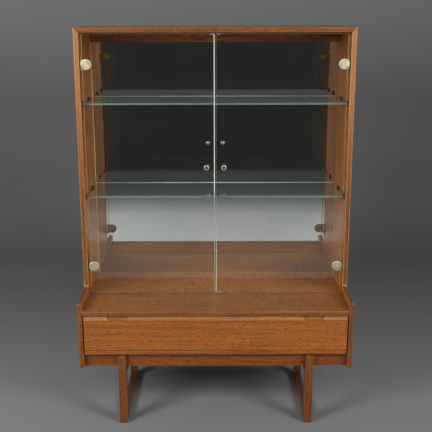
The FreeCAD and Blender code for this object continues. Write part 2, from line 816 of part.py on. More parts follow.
floor_blank = new_body("floor_blank")
pad(floor_blank, "floor_board", "YZ_Plane", [
    ("front_face", "floor_underside"), ("panel_front", "floor_underside"),
    ("panel_front", "display_floor_height"), ("front_face", "display_floor_height"),
], "-side_inner", "side_inner")
ease(floor_blank, "Fillet", "floor_front_arris", "edge_round",
     lambda edge: level(edge, "y", "front_face") and level(edge, "z", "display_floor_height"))
keep(cut("display_floor", floor_blank, [
    copies("floor_dowel_holes", dowel_hole, both_sides(floor_dowel_spots)),
    copies("floor_pin_holes", panel_pin_hole, cross_pin_spots("floor_middle")),
]), "display_floor")

bottom_blank = box("bottom_blank", ("-side_inner", "side_inner"), ("rail_rear", "panel_front"),
                   ("case_underside", "bottom_top"))
keep(cut("case_bottom", bottom_blank, [
    copies("bottom_dowel_holes", dowel_hole, both_sides(bottom_dowel_spots)),
    copies("bottom_pin_holes", panel_pin_hole, cross_pin_spots("bottom_middle")),
    copies("bottom_bar_screw_holes", bar_screw_hole, both_sides(bar_screw_spots)),
]), "case_bottom")

rail_blank = box("rail_blank", ("-side_inner", "side_inner"), ("rail_front", "rail_rear"),
                 ("case_underside", "rail_top"))
keep(cut("front_rail", rail_blank, [copies("rail_dowel_holes", dowel_hole, both_sides(rail_dowel_spots))]),
     "front_rail")
keep(box("top_back_rail", ("-side_inner", "side_inner"),
         ("mirror_front - back_rail_thickness", "mirror_front"),
         ("top_underside - back_rail_height", "top_underside")), "top_back_rail")

# Mirror and back panel

keep(box("mirror", ("-mirror_edge + rebate_fit", "mirror_edge - rebate_fit"), ("mirror_front", "panel_front"),
         ("display_floor_height", "mirror_ceiling - rebate_fit")), "mirror")
back_blank = box("back_blank", ("-panel_edge + rebate_fit", "panel_edge - rebate_fit"),
                 ("panel_front", "panel_rear"), ("panel_foot", "panel_ceiling - rebate_fit"))
keep(cut("back_panel", back_blank, [copies("back_pin_holes", panel_pin_hole, [
    *both_sides(side_pin_spots), *cross_pin_spots("top_underside + pin_line"),
    *cross_pin_spots("floor_middle"), *cross_pin_spots("bottom_middle"),
])]), "back_panel")

# Glass shelves and the studs that grip their edges

for shelf_name in ("upper_shelf", "lower_shelf"):
    keep(box(shelf_name, ("-shelf_edge", "shelf_edge"), ("shelf_front", "shelf_rear"),
             (f"{shelf_name}_height - shelf_thickness", f"{shelf_name}_height")), shelf_name)
stud_blank = turned("stud_blank", [
    ("0", "-stud_pin_length"), ("stud_pin_radius", "-stud_pin_length"), ("stud_pin_radius", "0"),
    ("stud_radius", "0"), ("stud_radius", "stud_length"), ("0", "stud_length"),
])
SLOT_HALF = "shelf_thickness / 2 + stud_grip_clearance"
stud_slot = box("stud_slot", (f"-({SLOT_HALF})", SLOT_HALF),
                ("-stud_radius - overrun", "stud_radius + overrun"), ("stud_web", "stud_length + overrun"))
shelf_stud = cut("shelf_stud", stud_blank, [stud_slot])
keep(copies("shelf_studs", shelf_stud, both_sides(stud_spots)), "shelf_studs")

# Hinges, drawn about the pin axis at the middle of their height

PLATE_HALF = "hinge_plate_height / 2"
KNUCKLE_HALF = "door_knuckle_length / 2"
STRAP_HALF = "clamp_strap_height / 2"
SIDE_KNUCKLE = f"{PLATE_HALF} - {KNUCKLE_HALF} - knuckle_gap"
hinge_bore = rod("hinge_bore", "hinge_pin_radius + pin_running_gap", "hinge_plate_height + overrun * 2",
                 ("0", "0", f"-{PLATE_HALF} - overrun"), UPRIGHT)
plate_leaf = box("plate_leaf", ("-hinge_axis_gap", "-hinge_axis_gap + hinge_plate_thickness"),
                 ("0", "hinge_plate_depth"), (f"-{PLATE_HALF}", PLATE_HALF))
cap_recess = box("cap_recess", ("-hinge_axis_gap - overrun", "0"), ("-overrun", "leaf_notch"),
                 (f"-{KNUCKLE_HALF} - knuckle_gap", f"{KNUCKLE_HALF} + knuckle_gap"))
plate_pieces = [cut("notched_leaf", plate_leaf, [cap_recess])]
for knuckle_name, knuckle_foot in (("lower", f"-{PLATE_HALF}"), ("upper", f"{KNUCKLE_HALF} + knuckle_gap")):
    plate_pieces.append(rod(f"{knuckle_name}_knuckle", "knuckle_radius", SIDE_KNUCKLE,
                            ("0", "0", knuckle_foot), UPRIGHT))
    plate_pieces.append(box(f"{knuckle_name}_knuckle_web", ("-hinge_axis_gap", "0"), ("0", "knuckle_radius"),
                            (knuckle_foot, f"{knuckle_foot} + {SIDE_KNUCKLE}")))
plate_screw_holes = copies("plate_screw_sinks", plate_screw_hole, [
    ("-hinge_axis_gap + hinge_plate_thickness", "plate_screw_depth",
     f"{lift} * plate_screw_spacing / 2", TO_LEFT) for lift in (LEFT, RIGHT)
])
hinge_plate = cut("hinge_plate", cut("bored_plate", fuse("plate_body", plate_pieces), [hinge_bore]),
                  [plate_screw_holes])
hinge_pin = turned("hinge_pin", [
    ("0", f"-{PLATE_HALF}"), ("hinge_pin_radius", f"-{PLATE_HALF}"), ("hinge_pin_radius", PLATE_HALF),
    ("hinge_pin_head_radius", PLATE_HALF),
    ("hinge_pin_head_radius", f"{PLATE_HALF} + hinge_pin_head_height / 2"),
    ("hinge_pin_radius", f"{PLATE_HALF} + hinge_pin_head_height"),
    ("0", f"{PLATE_HALF} + hinge_pin_head_height"),
])
clamp_disc = rod("clamp_disc", "clamp_radius", "clamp_thickness", ("cap_offset", "clamp_front", "0"), TO_BACK)
clamp_dome = doc.addObject("Part::Cone", "clamp_dome")
bind(clamp_dome, "Radius1", "clamp_radius")
bind(clamp_dome, "Radius2", "clamp_dome_radius")
bind(clamp_dome, "Height", "clamp_dome")
put(clamp_dome, "cap_offset", "clamp_rear", "0", TO_BACK)
clamp_strap = box("clamp_strap", ("0", "cap_offset"), ("clamp_front", "clamp_rear"),
                  (f"-{STRAP_HALF}", STRAP_HALF))
clamp_web = box("clamp_web", ("0", "door_side_gap - hinge_axis_gap - hinge_web_gap"), ("0", "clamp_rear"),
                (f"-{STRAP_HALF}", STRAP_HALF))
clamp_knuckle = rod("clamp_knuckle", "knuckle_radius", "door_knuckle_length",
                    ("0", "0", f"-{KNUCKLE_HALF}"), UPRIGHT)
clamp_screw_bore = rod("clamp_screw_bore", "cap_screw_radius + screw_fit",
                       "clamp_crown - clamp_front + overrun * 2",
                       ("cap_offset", "clamp_front - overrun", "0"), TO_BACK)
clamp_body = fuse("clamp_body", [clamp_disc, clamp_dome, clamp_strap, clamp_web, clamp_knuckle])
hinge_clamp = cut("hinge_clamp", clamp_body, [hinge_bore, clamp_screw_bore])

CAP_BOSS = "door_thickness + hinge_washer_thickness * 2 - cap_boss_gap"
CAP_THREAD = "cap_screw_radius + pin_running_gap"
RING_OUT = "cap_ring_radius + cap_ring_width / 2"
RING_IN = "cap_ring_radius - cap_ring_width / 2"
hinge_cap = turned("hinge_cap", [
    ("0", f"cap_thread_depth - ({CAP_BOSS})"), (CAP_THREAD, f"cap_thread_depth - ({CAP_BOSS})"),
    (CAP_THREAD, f"-({CAP_BOSS})"), ("cap_boss_radius", f"-({CAP_BOSS})"), ("cap_boss_radius", "0"),
    ("cap_radius", "0"), ("cap_radius", "cap_rim_thickness"), ("cap_radius - cap_bevel", "cap_thickness"),
    (RING_OUT, "cap_thickness"), (RING_OUT, "cap_thickness - cap_ring_depth"),
    (RING_IN, "cap_thickness - cap_ring_depth"), (RING_IN, "cap_thickness"), ("0", "cap_thickness"),
])
hinge_washer = turned("hinge_washer", [
    ("cap_boss_radius + cap_boss_gap", "0"), ("hinge_washer_radius", "0"),
    ("hinge_washer_radius", "hinge_washer_thickness"),
    ("cap_boss_radius + cap_boss_gap", "hinge_washer_thickness"),
])
cap_screw = screw_master("cap_screw", "cap_screw_radius", "cap_screw_reach", "cap_screw_head_radius",
                         "cap_screw_head_height")

HINGE_HEIGHTS = ("lower_hinge", "upper_hinge")
HINGE_TURNS = {LEFT: UPRIGHT, RIGHT: HALF_TURN}
keep(copies("hinge_plates", hinge_plate, [
    (f"{side} * hinge_line", "hinge_depth", height, HINGE_TURNS[side]) for side in (LEFT, RIGHT)
    for height in HINGE_HEIGHTS
]), "hinge_plates")
keep(copies("hinge_pins", hinge_pin, [
    (f"{side} * hinge_line", "hinge_depth", height, UPRIGHT) for side in (LEFT, RIGHT)
    for height in HINGE_HEIGHTS
]), "hinge_pins")

# Doors, each a sheet of glass with its hinge clamps, knob and clips

knob = turned("knob", [
    ("0", "knob_thread_depth"), ("knob_screw_radius + pin_running_gap", "knob_thread_depth"),
    ("knob_screw_radius + pin_running_gap", "0"), ("knob_stem_radius", "0"),
    ("knob_stem_radius", "knob_stem_length"),
    ("knob_radius", "knob_length - knob_rim_length"), ("knob_radius", "knob_length - knob_rim_round"),
    ("knob_radius - knob_rim_round", "knob_length"), ("knob_recess_radius", "knob_length"),
    ("knob_recess_radius", "knob_length - knob_recess_depth"), ("0", "knob_length - knob_recess_depth"),
])
knob_screw = screw_master("knob_screw", "knob_screw_radius", "door_thickness + knob_screw_reach",
                          "knob_screw_head_radius", "knob_screw_head_height")


def glass_sheet(side):
    """One door's glass, with a chamfered outline and holes for its hinges and knob."""
    name = SIDE_NAMES[side] + "_door"
    sheet = new_body(name + "_sheet")
    pad(sheet, name + "_pane", "XZ_Plane", [
        (f"{side} * door_inner", "door_foot"), (f"{side} * door_outer", "door_foot"),
        (f"{side} * door_outer", "door_head"), (f"{side} * door_inner", "door_head"),
    ], "door_front", "door_rear")
    ease(sheet, "Chamfer", name + "_edge", "door_edge_chamfer",
         lambda edge: level(edge, "y", "door_front") or level(edge, "y", "door_rear"))
    drill_length = "door_thickness + overrun * 2"
    drills = [rod(f"{name}_{height}_hole", "cap_boss_radius + glass_hole_gap", drill_length,
                  (f"{side} * cap_centre", "door_front - overrun", height), TO_BACK)
              for height in HINGE_HEIGHTS]
    drills.append(rod(name + "_knob_hole", "knob_screw_radius + glass_hole_gap", drill_length,
                      (f"{side} * knob_centre", "door_front - overrun", "knob_height"), TO_BACK))
    return cut(name + "_glass", sheet, drills)


def edge_clip(name, side, edge_distance, width, low, high, slot_low, slot_high):
    """A bent metal clip over an edge of one door's glass."""
    near = f"{side} * (door_inner + {edge_distance})"
    far = f"{side} * (door_inner + {edge_distance} + {width})"
    left, right = (far, near) if side == LEFT else (near, far)
    shell = box(name + "_shell", (left, right),
                ("door_front - clip_fit - clip_metal", "door_rear + clip_fit + clip_metal"), (low, high))
    slot = box(name + "_slot", (f"{left} - overrun", f"{right} + overrun"),
               ("door_front - clip_fit", "door_rear + clip_fit"), (slot_low, slot_high))
    return cut(name, shell, [slot])


for side, side_name in SIDE_NAMES.items():
    keep(glass_sheet(side), side_name + "_door_glass")
    keep(copies(side_name + "_hinge_clamps", hinge_clamp, [
        (f"{side} * hinge_line", "hinge_depth", height, HINGE_TURNS[side]) for height in HINGE_HEIGHTS
    ]), side_name + "_hinge_clamps")
    keep(copies(side_name + "_hinge_caps", hinge_cap, [
        (f"{side} * cap_centre", "door_front - hinge_washer_thickness", height, TO_FRONT)
        for height in HINGE_HEIGHTS
    ]), side_name + "_hinge_caps")
    keep(copies(side_name + "_hinge_washers", hinge_washer, [
        (f"{side} * cap_centre", face, height, turn) for height in HINGE_HEIGHTS
        for face, turn in (("door_front", TO_FRONT), ("door_rear", TO_BACK))
    ]), side_name + "_hinge_washers")
    keep(copies(side_name + "_hinge_cap_screws", cap_screw, [
        (f"{side} * cap_centre", "hinge_depth + clamp_crown", height, TO_FRONT) for height in HINGE_HEIGHTS
    ]), side_name + "_hinge_cap_screws")
    keep(copies(side_name + "_door_knob", knob, [
        (f"{side} * knob_centre", "door_front", "knob_height", TO_FRONT)
    ]), side_name + "_door_knob")
    keep(copies(side_name + "_knob_screw", knob_screw, [
        (f"{side} * knob_centre", "door_rear", "knob_height", TO_FRONT)
    ]), side_name + "_knob_screw")
    keep(edge_clip(side_name + "_strike_clip", side, "strike_clip_edge_distance", "strike_clip_width",
                   "door_head - strike_clip_height", "door_head + clip_fit + clip_metal",
                   "door_head - strike_clip_height - overrun", "door_head + clip_fit"),
         side_name + "_strike_clip")
keep(edge_clip("right_foot_clip", RIGHT, "foot_clip_edge_distance", "foot_clip_width",
               "door_foot - clip_fit - clip_metal", "door_foot + foot_clip_height",
               "door_foot - clip_fit", "door_foot + foot_clip_height + overrun"), "right_foot_clip")

catch_block = box("catch_block", ("-catch_width / 2", "catch_width / 2"),
                  ("catch_front", "catch_front + catch_depth"),
                  ("top_underside - catch_height", "top_underside"))
catch_holes = copies("catch_holes", catch_screw_hole, catch_screw_spots())
keep(cut("door_catch", catch_block, [catch_holes]), "door_catch")

# Drawer

core_blank = new_body("core_blank")
pad(core_blank, "core_board", "YZ_Plane", [
    ("front_face", "core_foot + lipping_groove"), ("front_face + lipping_groove", "core_foot"),
    ("drawer_rear_of_front", "core_foot"), ("drawer_rear_of_front", "core_head"),
    ("front_face + lipping_groove", "core_head"), ("front_face", "core_head - lipping_groove"),
], "-drawer_edge", "drawer_edge")
BOTTOM_GROOVE = ("drawer_bottom_foot", "drawer_bottom_head + drawer_bottom_fit")
front_groove = box("front_groove", ("-box_inner - drawer_bottom_groove", "box_inner + drawer_bottom_groove"),
                   ("drawer_rear_of_front - drawer_bottom_groove", "drawer_rear_of_front + overrun"),
                   BOTTOM_GROOVE)
keep(cut("drawer_front", core_blank, [
    front_groove, copies("front_dowel_holes", drawer_dowel_hole, both_sides(drawer_front_dowel_spots)),
]), "drawer_front")

top_lipping = new_body("drawer_top_lipping")
pad(top_lipping, "top_lipping_strip", "YZ_Plane", [
    ("front_face + lipping_groove", "core_head"), ("drawer_rear_of_front", "core_head"),
    ("drawer_rear_of_front", "drawer_head"), ("front_face + lipping_slope", "drawer_head"),
    ("front_face", "core_head + lipping_groove"),
], "-drawer_edge", "drawer_edge")
NOTCH_FOOT = "drawer_head - finger_notch_depth"
NOTCH_REAR = "front_face + finger_notch_reach"
notch_ends = [f"{side} * finger_notch_distance + {end} * finger_notch_width / 2"
              for side in (LEFT, RIGHT) for end in (LEFT, RIGHT)]
for side, side_name in SIDE_NAMES.items():
    low, high = notch_ends[:2] if side == LEFT else notch_ends[2:]
    pocket(top_lipping, side_name + "_finger_notch", "XZ_Plane", [
        (low, NOTCH_FOOT), (high, NOTCH_FOOT),
        (high, "drawer_head + overrun"), (low, "drawer_head + overrun"),
    ], "front_face - overrun", NOTCH_REAR)
ease(top_lipping, "Fillet", "notch_round", "finger_notch_round", lambda edge: level(edge, "z", NOTCH_FOOT)
     and any(level(edge, "x", end) for end in notch_ends))
ease(top_lipping, "Fillet", "notch_cove", "finger_notch_cove", lambda edge: level(edge, "z", NOTCH_FOOT)
     and level(edge, "y", NOTCH_REAR))
keep(top_lipping, "drawer_top_lipping")

bottom_lipping = new_body("drawer_bottom_lipping")
pad(bottom_lipping, "bottom_lipping_strip", "YZ_Plane", [
    ("front_face + lipping_groove", "drawer_foot"), ("drawer_rear_of_front", "drawer_foot"),
    ("drawer_rear_of_front", "core_foot"), ("front_face + lipping_groove", "core_foot"),
    ("front_face", "core_foot - lipping_groove"), ("front_face", "drawer_foot + lipping_groove"),
], "-drawer_edge", "drawer_edge")
keep(bottom_lipping, "drawer_bottom_lipping")

drawer_side_blank = box("drawer_side_blank", ("-box_outer", "-box_inner"),
                        ("drawer_rear_of_front", "box_rear"), ("box_foot", "box_head"))
runner_groove = box("runner_groove", ("-box_outer - overrun", "-box_outer + runner_groove_depth"),
                    ("runner_front - runner_stop_gap", "box_rear + overrun"),
                    ("runner_foot - runner_foot_gap", "runner_head + runner_top_gap"))
side_groove = box("side_groove", ("-box_inner - drawer_bottom_groove", "-box_inner + overrun"),
                  ("drawer_rear_of_front - overrun", "box_rear + overrun"), BOTTOM_GROOVE)
drawer_left_side = keep(cut("drawer_left_side", drawer_side_blank, [
    runner_groove, side_groove,
    copies("drawer_side_dowel_holes", drawer_dowel_hole,
           drawer_front_dowel_spots(LEFT) + drawer_back_dowel_spots(LEFT)),
]), "drawer_left_side")
keep(mirrored("drawer_right_side", drawer_left_side), "drawer_right_side")
drawer_back_blank = box("drawer_back_blank", ("-box_inner", "box_inner"),
                        ("drawer_back_front", "drawer_back_rear"),
                        ("drawer_bottom_head", "drawer_back_head"))
keep(cut("drawer_back", drawer_back_blank, [
    copies("drawer_back_dowel_holes", drawer_dowel_hole, both_sides(drawer_back_dowel_spots)),
]), "drawer_back")
GROOVED_EDGE = "box_inner + drawer_bottom_groove - rebate_fit"
keep(box("drawer_bottom", (f"-({GROOVED_EDGE})", GROOVED_EDGE),
         ("drawer_rear_of_front - drawer_bottom_groove + rebate_fit", "drawer_back_rear"),
         ("drawer_bottom_foot", "drawer_bottom_head")), "drawer_bottom")

runner_blank = box("runner_blank", ("-side_inner", "-runner_inner"), ("runner_front", "runner_rear"),
                   ("runner_foot", "runner_head"))
left_runner = keep(cut("left_drawer_runner", runner_blank, [
    copies("runner_holes", runner_screw_hole, runner_screw_spots(LEFT)),
]), "left_drawer_runner")
keep(mirrored("right_drawer_runner", left_runner), "right_drawer_runner")

# Leg frames: front leg, rear leg, floor runner and top bar on each side


def rounded_foot(edge):
    """Whether an edge bounds the sole of a leg, other than where the floor runner meets it."""
    sole = level(edge, "z", "0")
    flank = level(edge, "x", "-leg_outer") or level(edge, "x", "-leg_inner")
    toe = level(edge, "y", "front_leg_front") or level(edge, "y", "rear_leg_rear")
    return sole and (flank or toe)


front_leg_blank = new_body("front_leg_blank")
pad(front_leg_blank, "front_leg_post", "YZ_Plane", [
    ("front_leg_front", "0"), ("front_leg_rear", "0"), ("front_leg_rear", "case_underside"),
    ("rail_front", "case_underside"), ("rail_front", "rail_top"), ("front_leg_front", "rail_top"),
], "-leg_outer", "-leg_inner")
ease(front_leg_blank, "Fillet", "front_foot", "leg_foot_round", rounded_foot)
rear_leg_blank = new_body("rear_leg_blank")
pad(rear_leg_blank, "rear_leg_post", "YZ_Plane", [
    ("rear_leg_front", "0"), ("rear_leg_rear", "0"), ("rear_leg_rear", "case_underside"),
    ("rear_leg_front", "case_underside"),
], "-leg_outer", "-leg_inner")
ease(rear_leg_blank, "Fillet", "rear_foot", "leg_foot_round", rounded_foot)
SLED_SPAN = ("front_leg_rear", "rear_leg_front")
SLED_SIDES = ("-sled_outer", "-sled_inner")
floor_runner_blank = box("floor_runner_blank", SLED_SIDES, SLED_SPAN, ("0", "floor_runner_height"))
top_bar_blank = box("top_bar_blank", SLED_SIDES, SLED_SPAN, ("top_bar_foot", "case_underside"))
leg_pieces = {
    "front_leg": cut("left_front_leg", front_leg_blank, [
        copies("front_leg_holes", leg_dowel_hole, leg_dowel_spots(LEFT, "front_leg_rear"))]),
    "rear_leg": cut("left_rear_leg", rear_leg_blank, [
        copies("rear_leg_holes", leg_dowel_hole, leg_dowel_spots(LEFT, "rear_leg_front"))]),
    "floor_runner": cut("left_floor_runner", floor_runner_blank, [
        copies("floor_runner_holes", leg_dowel_hole,
               [leg_dowel_spots(LEFT, end)[0] for end in SLED_SPAN])]),
    "top_bar": cut("left_top_bar", top_bar_blank, [
        copies("top_bar_dowel_holes", leg_dowel_hole, [leg_dowel_spots(LEFT, end)[1] for end in SLED_SPAN]),
        copies("top_bar_screw_holes", bar_screw_hole, bar_screw_spots(LEFT))]),
}
for piece_name, piece in leg_pieces.items():
    keep(piece, "left_" + piece_name)
    keep(mirrored("right_" + piece_name, piece), "right_" + piece_name)

# Every object is checked before anything is written

doc.recompute()
for item in doc.Objects:
    if "Invalid" in item.State or "Error" in item.State:
        raise RuntimeError(f"{item.Label} failed: {item.State}")
os.makedirs("parts", exist_ok=True)
for label, piece in nodes.items():
    if piece.Shape.isNull() or not piece.Shape.isValid() or not piece.Shape.Solids:
        raise RuntimeError(f"{label} has no valid solid")
for label, piece in nodes.items():
    piece.Shape.exportStep(f"parts/{label}.step")
print(f"{len(nodes)} pieces, {sum(len(piece.Shape.Solids) for piece in nodes.values())} solids")
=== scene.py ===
"""Looks of a glazed display cabinet: finishes, glass, turned fittings and the studio round them.

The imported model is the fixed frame.  Its wooden pieces keep their meshes and get a finish, while the glass
and the small turned and slotted fittings are modelled afresh in the places of their nodes.
All lengths are metres.  X runs to the right, Y to the back and Z up, from the floor under the middle.
"""
import logging
import math
from dataclasses import dataclass
from enum import Enum, IntEnum
from typing import ClassVar, Iterable, Optional, Union

import bpy
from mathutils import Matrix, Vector


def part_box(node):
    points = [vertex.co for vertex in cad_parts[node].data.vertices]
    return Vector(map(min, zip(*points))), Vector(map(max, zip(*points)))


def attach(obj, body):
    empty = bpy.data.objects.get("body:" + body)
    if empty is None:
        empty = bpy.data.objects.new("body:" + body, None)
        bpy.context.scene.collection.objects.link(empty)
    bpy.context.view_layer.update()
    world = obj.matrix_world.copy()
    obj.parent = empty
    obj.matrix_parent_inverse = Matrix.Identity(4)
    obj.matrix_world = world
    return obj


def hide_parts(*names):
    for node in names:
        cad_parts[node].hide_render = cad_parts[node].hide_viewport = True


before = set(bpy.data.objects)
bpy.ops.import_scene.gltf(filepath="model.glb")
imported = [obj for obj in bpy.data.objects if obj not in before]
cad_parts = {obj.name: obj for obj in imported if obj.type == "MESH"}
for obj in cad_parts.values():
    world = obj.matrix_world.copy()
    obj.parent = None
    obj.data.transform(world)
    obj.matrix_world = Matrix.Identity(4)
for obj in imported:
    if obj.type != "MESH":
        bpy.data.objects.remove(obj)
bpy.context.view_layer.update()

log = logging.getLogger("display_cabinet")

Colour = tuple[float, float, float, float]
Point = tuple[float, float, float]
Span = tuple[float, float]
Profile = tuple[tuple[float, float], ...]
Socket = bpy.types.NodeSocket
Value = Union[float, int, tuple, Socket]

MM = 0.001
BLACK = (0.0, 0.0, 0.0, 1.0)
WHITE = (1.0, 1.0, 1.0, 1.0)


def paint(red: int, green: int, blue: int) -> Colour:
    """A shader's colour from the 0 to 255 values of a screen.

    Args:
        red: red on the screen's scale.
        green: green on the screen's scale.
        blue: blue on the screen's scale.

    Returns:
        The same colour in linear light, with full alpha.
    """
    def linear(level: int) -> float:
        """One channel in linear light, by the usual curve of screens."""
        share = level / 255
        return share / 12.92 if share <= 0.04045 else ((share + 0.055) / 1.055) ** 2.4

    return (linear(red), linear(green), linear(blue), 1.0)


def grey(level: int) -> Colour:
    """A neutral colour from one value of a screen."""
    return paint(level, level, level)


def scaled(shares: Profile, radius: float, height: float) -> Profile:
    """A turning profile brought from shares to a radius and a height."""
    return tuple((across * radius, up * height) for across, up in shares)


# Colour of the painted shade in the corners of metal fittings.
CORNER_SHADE = paint(46, 38, 28)


class Axis(IntEnum):
    """An axis of the room, as its place in a vector."""

    X = 0
    Y = 1
    Z = 2


class Grain(Enum):
    """Which way the grain of a wooden piece runs, as the turn that brings it along X."""

    ACROSS = (0.0, 0.0, 0.0)
    DEEP = (0.0, 0.0, -math.pi / 2)
    UPRIGHT = (0.0, math.pi / 2, 0.0)


class Facing(Enum):
    """Which way the head of a fitting looks, as the turn from looking up."""

    DOWN = (math.pi, 0.0, 0.0)
    FRONT = (math.pi / 2, 0.0, 0.0)
    BACK = (-math.pi / 2, 0.0, 0.0)
    RIGHT = (0.0, math.pi / 2, 0.0)
    LEFT = (0.0, -math.pi / 2, 0.0)


class Side(IntEnum):
    """A side of the cabinet, as the sign of X there."""

    LEFT = -1
    RIGHT = 1

    @property
    def label(self) -> str:
        """The side's word in the names of pieces."""
        return self.name.lower()

    @property
    def inward(self) -> Facing:
        """The way that a fitting on this side looks into the case."""
        return Facing.RIGHT if self is Side.LEFT else Facing.LEFT


Spot = tuple[Point, Facing]


@dataclass(frozen=True)
class Specks:
    """A noise: its specks per metre along each axis, its detail and the part of its range that counts."""

    per_metre: Point
    detail: float
    used: Optional[Span] = None


class Graph:
    """A node tree with short ways to add and join its nodes."""

    def __init__(self, tree: bpy.types.NodeTree) -> None:
        """Keeps the tree that the nodes go into."""
        self.tree = tree

    def add(self, kind: str, inputs: Optional[dict] = None, **settings: object) -> bpy.types.Node:
        """Adds a node.

        Args:
            kind: the node's type without its prefix.
            inputs: input names or numbers, each with a value or with the output that feeds it.
            **settings: the node's own properties.

        Returns:
            The new node.
        """
        node = self.tree.nodes.new("ShaderNode" + kind)
        for name, value in settings.items():
            setattr(node, name, value)
        for key, value in (inputs or {}).items():
            self.feed(node.inputs[key], value)
        return node

    def feed(self, socket: Socket, value: Value) -> None:
        """Joins an output to an input, or sets the input's own value.

        Args:
            socket: the input.
            value: the output that feeds it, or a plain value.
        """
        if isinstance(value, Socket):
            self.tree.links.new(value, socket)
        else:
            socket.default_value = value

    def math(self, operation: str, first: Value, second: Value = 0.0, clamp: bool = False) -> Socket:
        """The result of one step of arithmetic."""
        node = self.add("Math", {0: first, 1: second}, operation=operation, use_clamp=clamp)
        return node.outputs[0]

    def weigh(self, *terms: tuple[Value, Value]) -> Socket:
        """The sum of several values by weight.

        Args:
            *terms: each value with its weight.

        Returns:
            The sum.
        """
        total, *others = [self.math("MULTIPLY", value, weight) for value, weight in terms]
        for other in others:
            total = self.math("ADD", total, other)
        return total

    def part(self, vector: Value, axis: Axis) -> Socket:
        """The part of a vector along an axis."""
        return self.add("SeparateXYZ", {0: vector}).outputs[axis.name]

    def noise(self, vector: Value, specks: Specks, start: float = 0.0, end: float = 1.0) -> Socket:
        """Noise over a place.

        Args:
            vector: the place.
            specks: the noise's scale, detail and used range.
            start: the result at the low end of the used range.
            end: the result at its high end.

        Returns:
            The used range moved to the result's span, or the noise as it is if its whole range counts.
        """
        place = self.add("VectorMath", {0: vector, 1: specks.per_metre}, operation="MULTIPLY").outputs[0]
        inputs = {"Vector": place, "Scale": 1.0, "Detail": specks.detail}
        whole = self.add("TexNoise", inputs).outputs["Fac"]
        return self.span(whole, *specks.used, start, end) if specks.used else whole

    def span(self, value: Value, low: float, high: float, start: float = 0.0, end: float = 1.0) -> Socket:
        """A value moved from one span to another, held at both ends."""
        inputs = {"Value": value, "From Min": low, "From Max": high, "To Min": start, "To Max": end}
        return self.add("MapRange", inputs).outputs[0]

    def blend(self, share: Value, first: Value, second: Value) -> Socket:
        """Two colours mixed by a share."""
        node = self.add("Mix", {0: share, 6: first, 7: second}, data_type="RGBA")
        return node.outputs[2]

    def relief(self, height: Value, strength: float, depth: float, normal: Optional[Socket] = None) -> Socket:
        """A normal roughened by a height.

        Args:
            height: the relief's height.
            strength: how much of it shows.
            depth: its depth.
            normal: the normal to start from, where it isn't the surface's own.

        Returns:
            The new normal.
        """
        node = self.add("Bump", {"Strength": strength, "Distance": depth, "Height": height})
        if normal:
            self.feed(node.inputs["Normal"], normal)
        return node.outputs[0]


def open_group(name: str, inputs: dict[str, str], outputs: dict[str, str]) -> tuple[Graph, dict, dict]:
    """Starts a node group.

    Args:
        name: the group's name.
        inputs: socket names with their kinds.
        outputs: socket names with their kinds.

    Returns:
        The group's graph, its inputs as outputs of the inner side, and the inner sockets that it puts out.
    """
    tree = bpy.data.node_groups.new(name, "ShaderNodeTree")
    for side, sockets in (("INPUT", inputs), ("OUTPUT", outputs)):
        for label, kind in sockets.items():
            tree.interface.new_socket(name=label, in_out=side, socket_type="NodeSocket" + kind)
    given = tree.nodes.new("NodeGroupInput")
    result = tree.nodes.new("NodeGroupOutput")
    return (Graph(tree), {label: given.outputs[label] for label in inputs},
            {label: result.inputs[label] for label in outputs})


